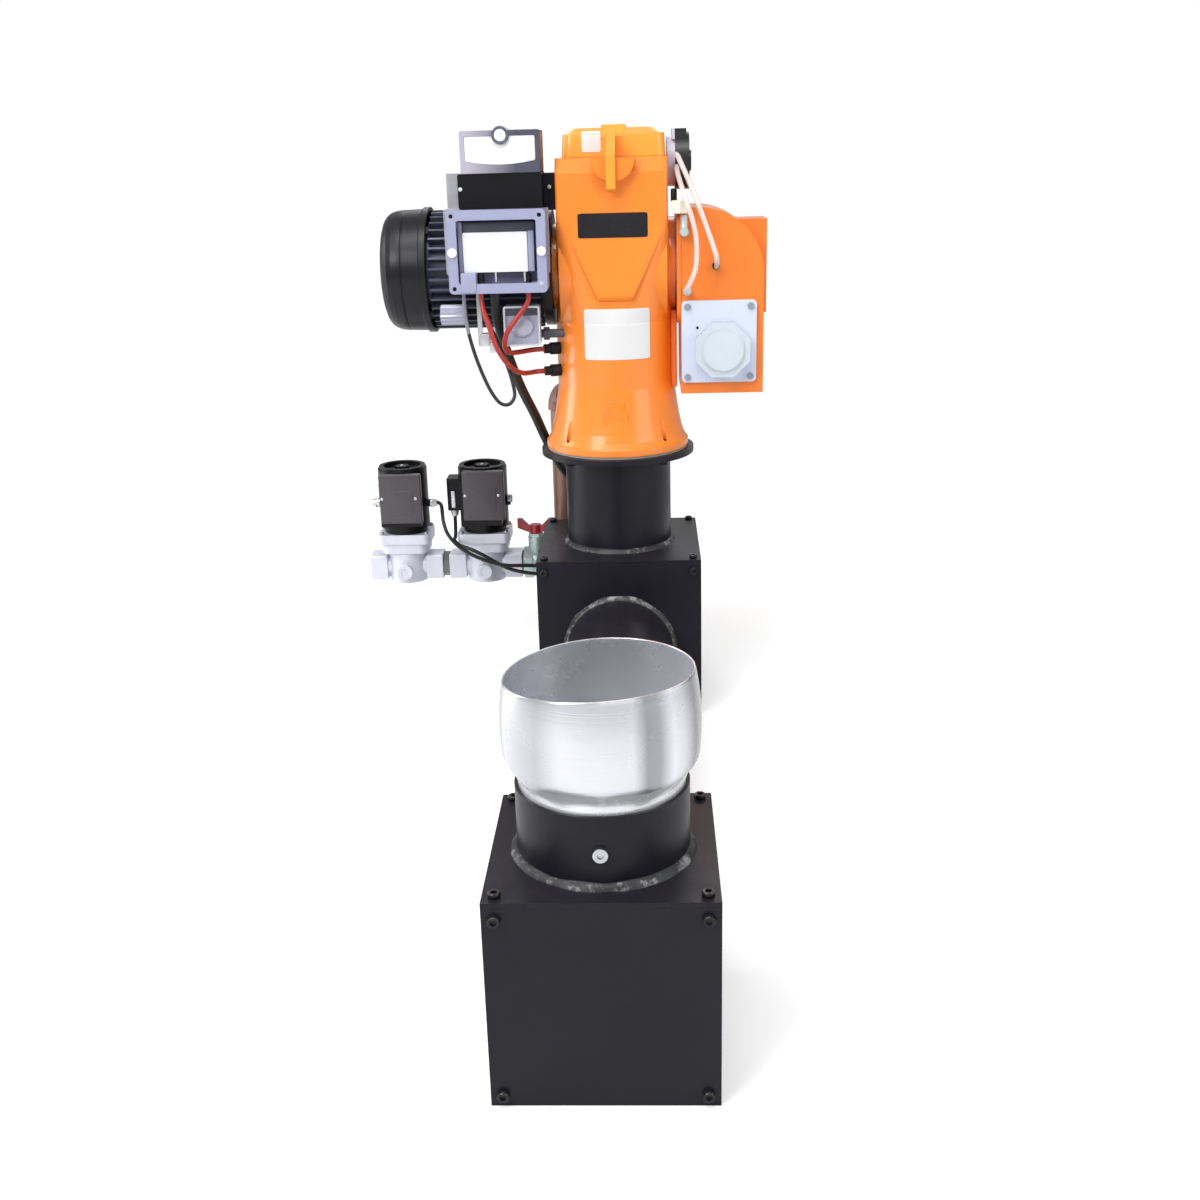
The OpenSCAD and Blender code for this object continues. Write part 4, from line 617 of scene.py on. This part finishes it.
# painted shade: the frame's colour darkens from left to right, where the light falls off
fade = ranged(tree, axes_of(tree, place_of(tree))["X"], From_Min=-190 * MM, From_Max=-125 * MM)
recolour(painted_shade_grey, fade, (0.07, 0.07, 0.10, 1))
cover_back = moulding(shrunk(frame_x, 2.8), shrunk(frame_z, 2.8), -26.3, -28.8, 1.0, 0.3)
piece = add("cover_frame", [skin_rings(cover_rings, loop=True), cover_back], painted_shade_grey)
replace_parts(piece, "control_cover")
pane_white = finish("pane_white", (0.80, 0.80, 0.81), (0.2, 0.32), grain=(400, 0.01), mottle=0.04, edge=0)
piece = add("cover_pane", moulding(shrunk(pane_x, 0.15), shrunk(pane_z, 0.15), -83.6, -85.6, 2.0, 0.3, SAG),
            pane_white)
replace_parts(piece, "control_cover")
bezel = [(11.6, 0), (11.6, 29.2), (11.1, 30), (9.6, 30.4), (8.1, 29.8), (7.85, 28), (7.85, 0)]
piece = add("reset_bezel", turned(bezel, (-144, -60, 811.1), FRONT, 48, bored=True), cover_grey)
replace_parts(piece, "control_cover")
base_screw = [(2.6, 0), (2.6, 0.8), (2.0, 1.3), (0.3, 1.4)]
add("base_screws", [turned(base_screw, (x, y, 744), FRONT, 20) for x, y in ((-200.5, -83.9), (-83.5, -58.0))],
    bright_metal)
print("control cover built")

# %% [markdown]
# Inside the tray stands the ignition transformer: a dark potted block with a blank white label, a lilac
# terminal tower at the lower left and two small posts. Round white plugs and dark countersunk screws
# hold the tray.

# %% Transformer and tray screws
tray_pieces = {
    "transformer_block": (moulding((-200, -102), (635, 703), -75.2, -96, 3, 2.5), slate_plastic, "grey_cover"),
    "transformer_label": (moulding((-199.5, -113), (637, 689), -95, -99.6, 1.5, 0.5), pane_white, "white_plastic"),
    "transformer_side": ([moulding((-112.6, -104), (637, 690), -95, -98.4, 1.5, 1.0),
                          moulding((-206, -200), (622, 703), -78, -97, 1.5, 1.0),
                          moulding((-203, -182.5), (611, 637), -78, -112, 2.0, 1.5)], tray_plastic, "lilac_tray"),
    "transformer_posts": ([turned([(1.5, 0), (1.5, 14)], (x, -98, 624), UP, 12) for x in (-157, -118)],
                          bright_metal, "bright_steel"),
    "high_tension_outlets": ([turned([(5.4, 0), (5.4, 20), (4.6, 24.5)], (x, -91.1, 611.9), UP, 24)
                              for x in (-179, -115)], rubber_black, "rubber_black")}
for name, (parts, material, slot) in tray_pieces.items():
    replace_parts(add(name, parts, material), "ignition_transformer")
plug_line = [(6.2, 0.1), (6.2, 2.2), (5.4, 3.0), (0.3, 3.2)]
sunk_line = [(2.7, 0.05), (2.7, 0.5), (2.0, 0.7), (0.3, 0.4)]
TRAY_FACE = -110.1
tray_screws = {
    "tray_plugs": ([turned(plug_line, (x, TRAY_FACE, 663.9), FRONT) for x in (-212.5, -93.5)], white_plastic,
                   "white_plastic"),
    "tray_sunk_screws": ([turned(sunk_line, (x, TRAY_FACE, z), FRONT, 20)
                          for x, z in ((-212, 711), (-95, 710.5), (-212, 617))], moulded_black, "black_bolt"),
    "tray_bright_screw": (turned(sunk_line, (-95, TRAY_FACE, 622), FRONT, 20), bright_metal, "bright_steel")}
for name, (parts, material, slot) in tray_screws.items():
    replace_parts(add(name, parts, material), "tray_screws")
print("transformer pieces:", len(tray_pieces))

# %% [markdown]
# The gas pressure switch has a pale rim round a darker window and a domed knob. Beside it a folded strip
# with a small terminal block hangs from the tray, and a ribbed connector sits under the motor fins.

# %% Switch front and connector
rim_x, rim_z = (-151, -101), (536, 590)
inner_x, inner_z = shrunk(rim_x, 2.6), shrunk(rim_z, 2.6)
rim = skin_rings([round_loop(rim_x, rim_z, 3, -81.5), round_loop(rim_x, rim_z, 3, -86),
                  round_loop(inner_x, inner_z, 2, -86), round_loop(inner_x, inner_z, 2, -81.5)], loop=True)
add("switch_rim", rim, bright_metal)
add("switch_window", moulding((-148, -104), (577, 587), -81.8, -82.6, 1, 0.2), slate_plastic)
knob_line = [(12.5, 0), (12.5, 3), (11.5, 4.6), (8, 5.6), (4, 6), (0.3, 6.1)]
add("switch_knob", turned(knob_line, (-123, -82, 562), FRONT), lilac_metal)
add("hanging_strip", [moulding((-188, -181.5), (540, 609.8), -72.5, -74, 0.6, 0.3),
                      moulding((-188, -172), (536, 553), -66, -80, 2, 1.5),
                      moulding((-173, -163), (527, 540), -68, -78, 1.5, 1.2)], bright_metal)
ribs = knurled(14.0, 2.0, 15)
add("motor_connector", turned([(ribs, 0), (ribs, 30), (knurled(13.2, 1.2, 15), 33), (10.5, 35), (0.3, 35.4)],
                              (-239.5, -58, 577.5), (1, 0, 0), 90), lilac_metal)
print("switch front built")

# %% [markdown]
# Each valve coil has a bent front plate with two small screws, a pale hexagon nut deep in its dished top,
# and metal fittings at the sides. The plate edges are rolled, so they catch a thin line of light.

# %% Coil fronts and valve fittings
VALVE_Y, FITTING_Y, BONNET_TOP, COIL_TOP, PORT_Z = 162, 153, 210, 315.2, 149
COIL_X = (-351, -222)
plates, plate_screws, nuts, bonnet_parts, port_parts = [], [], [], [], []
nut_line = [(hexagon(5.2), -6), (hexagon(5.2), 0.6), (4.2, 1.2), (2.4, 1.2), (2.2, 3.0), (0.3, 3.2)]
port_line = [(12.6, -3), (12.6, 1.2), (11.8, 2.0), (6.5, 2.0), (6.0, 1.2), (0.3, 1.2)]
for axis_x, (x0, x1), (z0, z1) in zip(COIL_X, ((-382.5, -316), (-250, -184)), ((232, 312), (235, 315))):
    plates.append(moulding((x0, x1), (z0, z1), 126, 116.5, 2.5, 1.8))
    plates.append(moulding((x0 + 13, x1 - 13), (z0 + 14, z1 - 26), 118, 115.9, 3, 0.5))
    for x in (x0 + 4, x1 - 9):
        plate_screws.append(turned([(2.2, 0), (2.2, 1.0), (1.5, 1.5), (0.3, 1.6)], (x, 116.6, z0 + 41), FRONT, 20))
    nuts.append(turned(nut_line, (axis_x, VALVE_Y, COIL_TOP), UP))
    for dx in (-36, 36):
        for dy in (-28, 28):
            bonnet_parts.append(socket_screw((axis_x + dx, VALVE_Y + dy, BONNET_TOP), UP, 3.8, 3.8, 1.6))
    port_parts.append(turned(port_line, (axis_x, 122, PORT_Z), FRONT))
fittings = [turned([(7.6, 0), (7.6, 4), (6.6, 4.6), (6.6, 9), (5.6, 10), (5.6, 13)],
                   (COIL_X[0] - 38, FITTING_Y, 259), (-1, 0, 0)),
            turned([(7.0, 0), (7.0, 6), (5.8, 7.4), (0.3, 7.6)], (COIL_X[1] + 40, FITTING_Y, 262), (1, 0, 0)),
            turned([(6.6, 0), (6.6, 6), (5.6, 8), (5.4, 10.5), (3.3, 10.5), (3.3, 0)], (-269, 154, 245.8),
                   (0, 0, -1), bored=True),
            turned([(7.2, 0), (7.2, 5), (6.2, 7), (6.0, 10), (4.4, 10), (3.3, 0)], (-306.9, FITTING_Y, 257.1),
                   (1, 0, 0), bored=True),
            moulding((-271.6, -265.8), (251, 278), 142.4, 141.0, 0.8, 0.3)]
for name, parts, material, slot in (
        ("coil_plates", plates, coil_plate, "coil_black"),
        ("coil_plate_screws", plate_screws, bright_metal, "bright_steel"),
        ("coil_nuts", nuts, bright_metal, "bright_steel"),
        ("coil_fittings", fittings, bright_metal, "bright_steel"),
        ("bonnet_screws", bonnet_parts, plain_steel, "bright_steel"),
        ("port_plugs", port_parts, cast_aluminium, "valve_alu")):
    add(name, parts, material)
print("coil fronts:", len(plates) // 2)

# %% [markdown]
# The ducts are welded in by hand, so the beads are uneven: overlapping ripples every few millimetres, and
# a width that wanders. A ring of cross sections round the duct carries both, with a fixed seed.

# %% Weld beads
DUCT_R, LEG, SECTIONS = 77.15, 7.0, 300


def weld_bead(centre, axis, seed):
    wander = random.Random(seed)
    waves = [(wander.uniform(2, 13), wander.uniform(0, 6.3), wander.uniform(0.2, 0.55)) for _ in range(6)]
    rings = []
    for k in range(SECTIONS):
        a = 2 * math.pi * k / SECTIONS
        size = LEG * (0.84 + 0.1 * sum(h * math.sin(round(n) * a + p) for n, p, h in waves) / 1.2)
        ripple = 0.32 * abs(math.sin(a * 52)) + 0.12 * math.sin(a * 131)
        section = []
        for t in (0.0, 0.2, 0.45, 0.7, 0.88, 1.0):
            lift = math.sin(math.pi * t) * (0.9 + ripple)
            r = DUCT_R + size * (1 - t) + 0.6 * lift
            section.append((r * math.cos(a), r * math.sin(a), size * t + 0.6 * lift))
        section.append((DUCT_R * math.cos(a), DUCT_R * math.sin(a), 0.0))
        rings.append(section)
    verts, faces = skin_rings(rings, loop=True)
    return aimed(verts, centre, axis), [tuple(reversed(f)) for f in faces]


weld_steel = finish("weld_steel", (0.055, 0.056, 0.06), (0.35, 0.6), metal=0.5, grain=(500, 0.12), mottle=0.5,
                    drift=60, edge=0)
bare_spots = group_node(weld_steel.node_tree, scuffs_group, Scale=45.0, Level=0.52)
recolour(weld_steel, bare_spots, (0.34, 0.34, 0.35, 1))
DUCT_Z, FLANGE_Z = 100, 370
bead_places = [((0, 0, REAR_W), UP), ((0, 0, FLANGE_Z), (0, 0, -1)), ((0, FRONT_Y, FRONT_W), UP),
               ((0, -REAR_W / 2, DUCT_Z), FRONT), ((0, FRONT_Y + FRONT_W / 2, DUCT_Z), (0, 1, 0))]
beads = [weld_bead(c, a, seed=k + 3) for k, (c, a) in enumerate(bead_places)]
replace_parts(add("rippled_welds", beads, weld_steel), "weld_beads")
print("weld beads:", len(bead_places))

# %% [markdown]
# The flame cup was spun on a lathe from 2 mm steel: fine rings run round it, the rim is curled in and cut
# a little out of level, and the shoulder where it meets the spigot is wrinkled. The wall is one closed
# skin. The rings are a bump in the material, and above the shoulder its colour carries painted reflections:
# light and dark bands round the cup.

# %% Flame cup
CUP_BASE, CUP_H, SHOULDER_H, SPIGOT_R, WALL = 266.0, 97, 34, 73.7, 2.0
lower = [bezier([(SPIGOT_R, 0), (SPIGOT_R, 17), (86.0, 17), (86.5, 33.95)], t / 14) for t in range(15)]
upper = [bezier([(86.5, 33.95), (88.1, 53.35), (87.9, 75.66), (82.5, 102.82)], t / 22) for t in range(1, 23)]
cup_line = [(SPIGOT_R, -50.0), (SPIGOT_R, -20.0)] + [tuple(p) for p in lower + upper]


def cup_radius(z):
    for (r0, z0), (r1, z1) in zip(cup_line, cup_line[1:]):
        if z <= z1:
            return r0 + (r1 - r0) * (z - z0) / max(z1 - z0, 1e-6)
    return cup_line[-1][0]


def wrinkle(a, z):
    band = math.exp(-((z - 17) / 10) ** 2)
    return band * (0.55 * math.sin(5 * a + 0.7) + 0.4 * math.sin(9 * a + 2.1 + z * 0.08) + 0.3 * math.sin(14 * a + 4))


def cup_ring(z, inset, count=160):
    points = []
    for k in range(count):
        a = 2 * math.pi * k / count
        rim = 99.5 + 84 * math.cos(a) * math.tan(math.radians(2.7)) - 2.5 * math.sin(a) + 3 * math.sin(a) ** 2
        stretch = (rim - SHOULDER_H) / (CUP_H - SHOULDER_H)
        height = z if z <= SHOULDER_H else SHOULDER_H + (z - SHOULDER_H) * stretch
        r = cup_radius(height) - inset + wrinkle(a, height)
        points.append((r * math.cos(a), FRONT_Y + r * math.sin(a), CUP_BASE + height))
    return points


outer = [cup_ring(z, 0.0) for z in [-50, -20, 0] + [2.5 * k for k in range(1, 39)]]
lip = [cup_ring(96.6, 0.1), cup_ring(97.0, 0.5), cup_ring(97.0, 1.5), cup_ring(96.6, 1.9)]
inner = [cup_ring(z, WALL) for z in [2.5 * k for k in range(38, 0, -1)] + [0, -20, -50]]
spun_steel = finish("spun_steel", (0.84, 0.85, 0.89), (0.2, 0.32), metal=0.62, grain=(500, 0.01), mottle=0.08,
                    drift=9, edge=0)
tree = spun_steel.node_tree
axes = axes_of(tree, place_of(tree))
around = math_node(tree, "ARCTAN2", axes["X"], math_node(tree, "SUBTRACT", FRONT_Y * MM, axes["Y"]))
turn = math_node(tree, "ADD", math_node(tree, "DIVIDE", around, 2 * math.pi), 0.5)
# painted reflections: light and dark bands set round the cup by angle, multiplied into the base colour
painted_reflection_bands = add_node(tree, "ValToRGB", {"Fac": turn})
tones = [(0.0, 0.8), (0.24, 0.75), (0.285, 0.38), (0.31, 0.85), (0.40, 0.62), (0.44, 0.88), (0.555, 0.88),
         (0.578, 0.4), (0.60, 0.44), (0.628, 0.95), (0.655, 0.8), (0.69, 0.3), (0.74, 0.6), (0.8, 0.9), (1.0, 0.8)]
for place, tone in tones[1:-1]:
    painted_reflection_bands.color_ramp.elements.new(place)
for element, (place, tone) in zip(painted_reflection_bands.color_ramp.elements, tones):
    element.position, element.color = place, (tone, tone, tone * 1.02, 1)
above_shoulder = math_node(tree, "GREATER_THAN", axes["Z"], (CUP_BASE + 20) * MM)
recolour(spun_steel, above_shoulder, painted_reflection_bands.outputs["Color"], "MULTIPLY")
lathe_rings = add_node(tree, "TexNoise", {"Scale": 900.0, "Detail": 4.0, "W": axes["Z"]}, noise_dimensions="1D")
normal = shader_of(spun_steel).inputs["Normal"]
tree.links.new(bumped(tree, lathe_rings.outputs["Fac"], 0.12, Normal=normal.links[0].from_socket), normal)
cup_skin = skin_rings(outer + lip + inner, loop=True)
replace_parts(add("spun_cup", cup_skin, spun_steel), "flame_cup")
print("cup rim is", round(sum(p[2] for p in lip[1]) / len(lip[1])), "mm above the floor on average")

# %% [markdown]
# Leads and hoses are soft, so each is a round tube swept along a smooth curve through the same points as
# its solid. The curve is a Catmull-Rom spline, which passes through every point, and the frame of the tube
# is carried along so that it never twists.

# %% Tubes along a route
def smooth_route(points, steps=6):
    """A smooth curve through the points, steps to each span."""
    p = [Vector(q) for q in points]
    p = [p[0] * 2 - p[1]] + p + [p[-1] * 2 - p[-2]]
    found = []
    for i in range(1, len(p) - 2):
        for s in range(steps):
            t = s / steps
            found.append(0.5 * ((2 * p[i]) + (p[i + 1] - p[i - 1]) * t
                                + (2 * p[i - 1] - 5 * p[i] + 4 * p[i + 1] - p[i + 2]) * t * t
                                + (3 * p[i] - p[i - 1] - 3 * p[i + 1] + p[i + 2]) * t ** 3))
    return found + [p[-2]]


def swept(points, diameter, sides):
    """Rings square to a route, as vertices and faces."""
    rings, side = [], None
    for i, here in enumerate(points):
        ahead = (points[min(i + 1, len(points) - 1)] - points[max(i - 1, 0)]).normalized()
        if side is None:
            side = ahead.cross(Vector((0.1, 0.05, 1)) if abs(ahead.z) < 0.9 else Vector((0, 1, 0.1))).normalized()
        side = (side - side.dot(ahead) * ahead).normalized()
        other = ahead.cross(side)
        turns = [2 * math.pi * k / sides for k in range(sides)]
        rings.append([here + diameter / 2 * (math.cos(a) * side + math.sin(a) * other) for a in turns])
    return skin_rings(rings, cap_start=True, cap_end=True)


def route_length(points):
    return sum((b - a).length for a, b in zip(points, points[1:]))


def lead(name, route, diameter, material, replaced, sides=14):
    line = smooth_route(route)
    verts, faces = swept(line, diameter, sides)
    piece = mesh_piece(name, verts, faces, material, "burner")
    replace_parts(piece, replaced)
    print(name, "is", round(route_length(line)), "mm long")


print("tube maker ready")

# %% [markdown]
# Two red silicone leads carry the spark from the transformer to the electrodes. A thin black lead hangs in
# a loop below the tray, and a sleeved bundle runs down behind the flange to the gas valves. The leads are
# held at both ends and sag a little between them.

# %% Leads
lead_red = finish("lead_red", (0.40, 0.022, 0.018), (0.28, 0.42), coat=0.25, grain=(900, 0.02), mottle=0.2, edge=0)
lead_black = finish("lead_black", (0.011, 0.011, 0.012), (0.36, 0.5), grain=(900, 0.02), mottle=0.2, edge=0)
sleeve_black = finish("sleeve_black", (0.012, 0.013, 0.012), (0.42, 0.56), grain=(420, 0.25), mottle=0.3, edge=0)
loop_skin = finish("loop_skin", (0.011, 0.011, 0.012), (0.34, 0.48), mottle=0.2, edge=0)
two_tone(loop_skin, (0.20, 0.20, 0.24), "Z", 556)
TRAY_MID, TRAY_LOW, LEAD_TOP, LEAD_DROP = -91.1, 609.7, 611.8, 12
BOOT_OUT, STUB_Z, PLUG_X, PLUG_FOOT = 106.6, 257.1, -269, 245.8


def beside_neck(reach, z):
    """A point out of the neck at the angle of the lead boots."""
    angle = math.radians(200)
    return (reach * math.cos(angle), reach * math.sin(angle), z)


ignition_1 = [(-115, TRAY_MID, LEAD_TOP), (-115, TRAY_MID, LEAD_TOP - LEAD_DROP), (-122, -95, 587), (-134, -99, 572),
              (-146, -99, 555), (-150, -93, 538), (-145, -80, 527), (-133, -63, 525), (-121, -49, 525),
              beside_neck(BOOT_OUT + LEAD_DROP, 525), beside_neck(BOOT_OUT, 525)]
ignition_2 = [(-179, TRAY_MID, LEAD_TOP), (-179, TRAY_MID, LEAD_TOP - LEAD_DROP), (-176, -97, 585), (-169, -102, 565),
              (-162, -103, 542), (-152, -98, 521), (-141, -84, 505), (-130, -64, 496), (-120, -49, 494),
              beside_neck(BOOT_OUT + LEAD_DROP, 494), beside_neck(BOOT_OUT, 494)]
loop_line = [(-202, -96, TRAY_LOW), (-202, -96, TRAY_LOW - 10), (-201, -98, 578), (-197, -98, 552), (-190, -97, 524),
             (-181, -95, 497), (-171, -93, 474), (-160, -92, 459), (-148, -91, 457), (-140, -88, 468),
             (-143, -83, 488), (-150, -77, 510), (-159, -75, 534), (-168, -76, 558), (-177, -79, 582),
             (-180, -80, TRAY_LOW - 10), (-180, -80, TRAY_LOW)]
sleeve_line = [(-161, -80, TRAY_LOW), (-161, -80, TRAY_LOW - 9), (-162, -73, 584), (-158, -52, 547), (-149, -30, 506),
               (-137, -2, 462), (-122, 30, 418), (-109, 60, 375), (-92, 93, 330), (-70, 117, 292), (-51, 129, 268),
               (-46, 132, 256), (-46, 132, 246)]
valve_line_1 = [(-50, 132, 245.8), (-50, 132, 235), (-51, 131, 212), (-58, 127, 182), (-80, 125, 161),
                (-115, 124, 156), (-150, 116, 160), (-190, 104, 165), (-226, 100, 178), (-256, 100, 196),
                (-274, 103, 216), (-282, 112, 235), (-285, 125, 249), (-288, 138, 256), (-293.5, 148, 258),
                (-300.5, 153, STUB_Z), (-306.8, 153, STUB_Z)]
valve_line_2 = [(-42, 132, 245.8), (-42, 132, 235), (-43, 131, 207), (-50, 127, 172), (-76, 125, 149),
                (-115, 124, 144), (-150, 117, 147), (-185, 112, 158), (-218, 110, 178), (-240, 112, 189),
                (-258, 119, 194), (PLUG_X, 133, 199), (PLUG_X, 147, 205), (PLUG_X, 154, PLUG_FOOT - 10.8),
                (PLUG_X, 154, PLUG_FOOT)]
for name, route, diameter, material in (
        ("ignition_lead_right", ignition_1, 7, lead_red), ("ignition_lead_left", ignition_2, 7, lead_red),
        ("looped_lead", loop_line, 5, loop_skin), ("harness_sleeve", sleeve_line, 14, sleeve_black),
        ("valve_lead_outer", valve_line_1, 6, lead_black), ("valve_lead_inner", valve_line_2, 6, lead_black)):
    lead(name, route, diameter, material, "control_leads", sides=20 if diameter > 7 else 14)

# %% [markdown]
# Two clear hoses sense the pressure of the air: they leave the round switch behind, arch over the front of
# the intake and end on small nipples.

# %% Hoses
hose_1 = [(88.6, -23.2, 781), (88.6, -34.2, 781), (91, -51, 776), (99, -66, 758), (111, -77, 730), (123, -85, 698),
          (133, -92, 670), (138, -96, 655), (139.5, -95.8, 648), (140.05, -92.5, 641.5), (140.05, -86.5, 637.5),
          (140.05, -79, 636), (140.05, -70.2, 636)]
hose_2 = [(88.6, -23.2, 765), (88.6, -32.2, 765), (89, -50, 758), (93, -70, 743), (100, -86, 721), (107, -91, 700),
          (112, -92, 677), (113, -93, 653), (111, -95.5, 634), (105.5, -96, 620), (101.05, -92.5, 610.5),
          (101.05, -86, 604.8), (101.05, -78, 603), (101.05, -68.2, 603)]
lead("sensing_hose_upper", hose_1, 7, clear_hose, "sensing_hoses")
lead("sensing_hose_lower", hose_2, 7, clear_hose, "sensing_hoses")

# %% [markdown]
# The hoses end on a small nipple and an elbow. A metal stub with a large cream nut and a black cap stands
# on the front of the intake, and an orange web closes the gap between the neck and the intake.

# %% Intake fittings
fitting_metal = finish("fitting_metal", (0.56, 0.64, 0.62), (0.25, 0.4), metal=0.3, grain=(900, 0.01))
nut_cream = finish("nut_cream", (0.86, 0.81, 0.68), (0.4, 0.55), grain=(700, 0.02))
fitting_pieces = {
    "intake_nipple": (turned([(5, 0), (5, 8), (4.2, 9.8)], (140.05, -60.9, 636), FRONT), moulded_black,
                      "plastic_black"),
    "intake_elbows": ([turned([(6, 0), (6, 6), (5, 7.3)], (101.05, -60.9, 603), FRONT),
                       turned([(6.5, 0), (6.5, 13), (5.5, 14.5), (0.3, 15)], (97, -61, 682), FRONT),
                       turned([(6.2, 0), (6.2, 6), (5, 8), (5, 26)], (97, -69, 678), UP)], fitting_metal,
                      "fitting_brass"),
    "cream_nut": (turned([(hexagon(10.2), 0), (hexagon(11), 0.8), (hexagon(11), 16), (hexagon(10.2), 17)],
                         (91.5, -69, 706), UP), nut_cream, "fitting_brass"),
    "black_cap": (turned([(4.2, 0), (4.2, 14), (3.4, 16), (0.3, 16.4)], (83.5, -65, 722), UP), moulded_black,
                  "plastic_black")}
for name, (parts, material, slot) in fitting_pieces.items():
    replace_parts(add(name, parts, material), "hose_fittings")
add("intake_web", moulding((78.6, 87.2), (466, 574), 60, -30, 3, 2), intake_paint)
add("servo_marks", [turned([(1.9, 0), (1.9, 0.5), (0.3, 0.6)], (x, -66.0, 553.5), FRONT, 20) for x in (114.7, 167.5)],
    moulded_black)
print("intake fittings:", len(fitting_pieces))

# %% [markdown]
# Plates and stickers lie on curved castings. Each is laid on by casting rays at the solid behind it, so
# the sheet follows the neck or the sloping facet and stands about half a millimetre proud. All are blank.

# %% Plates laid on the castings
LIFT, SINK, CORNER_CUT, RAY_FROM = 0.6, 0.3, 0.75, -200.0


def laid_plate(name, node, x_range, z_range, material, steps):
    cols, rows = steps
    verts, back, hits = [], [], 0
    target = nodes[node]
    for j in range(rows + 1):
        for i in range(cols + 1):
            u, v = i / cols, j / rows
            x = x_range[0] + (x_range[1] - x_range[0]) * u
            z = z_range[0] + (z_range[1] - z_range[0]) * v
            edge_x = min(x - x_range[0], x_range[1] - x)
            edge_z = min(z - z_range[0], z_range[1] - z)
            if edge_x < 1e-6 and edge_z < 1e-6:
                x += CORNER_CUT if u < 0.5 else -CORNER_CUT
                z += CORNER_CUT if v < 0.5 else -CORNER_CUT
            hit, where, _, _ = target.ray_cast(Vector((x, RAY_FROM, z)) * MM, Vector((0, 1, 0)))
            hits += hit
            here = where / MM if hit else Vector((x, RAY_FROM, z))
            verts.append((x, here.y - LIFT, z))
            back.append((x, here.y + SINK, z))
    width = cols + 1
    base = len(verts)
    faces = []
    for j in range(rows):
        for i in range(cols):
            a = j * width + i
            faces.append((a, a + 1, a + width + 1, a + width))
    rim = list(range(width)) + [j * width + cols for j in range(1, rows + 1)]
    rim += [rows * width + i for i in range(cols - 1, -1, -1)] + [j * width for j in range(rows - 1, 0, -1)]
    for a, b in zip(rim, rim[1:] + rim[:1]):
        faces.append((b, a, a + base, b + base))
    mesh_piece(name, verts + back, faces, material, "burner", smooth=False)
    print(name, "laid on", hits, "of", width * (rows + 1), "points")


plate_white = finish("plate_white", (0.70, 0.70, 0.70), (0.3, 0.42), grain=(300, 0.03), mottle=0.05, edge=0)
plate_black = finish("plate_black", (0.008, 0.007, 0.009), (0.18, 0.3), coat=0.3, grain=(300, 0.02), mottle=0.3,
                     edge=0)
laid_plate("rating_plate", "burner_casting", (-41, 49), (514, 583), plate_white, (30, 24))
laid_plate("blank_badge", "burner_casting", (-46, 48), (677, 709), plate_black, (20, 14))
laid_plate("cover_sticker", "top_cover", (-40, -14), (787, 814), plate_white, (10, 8))
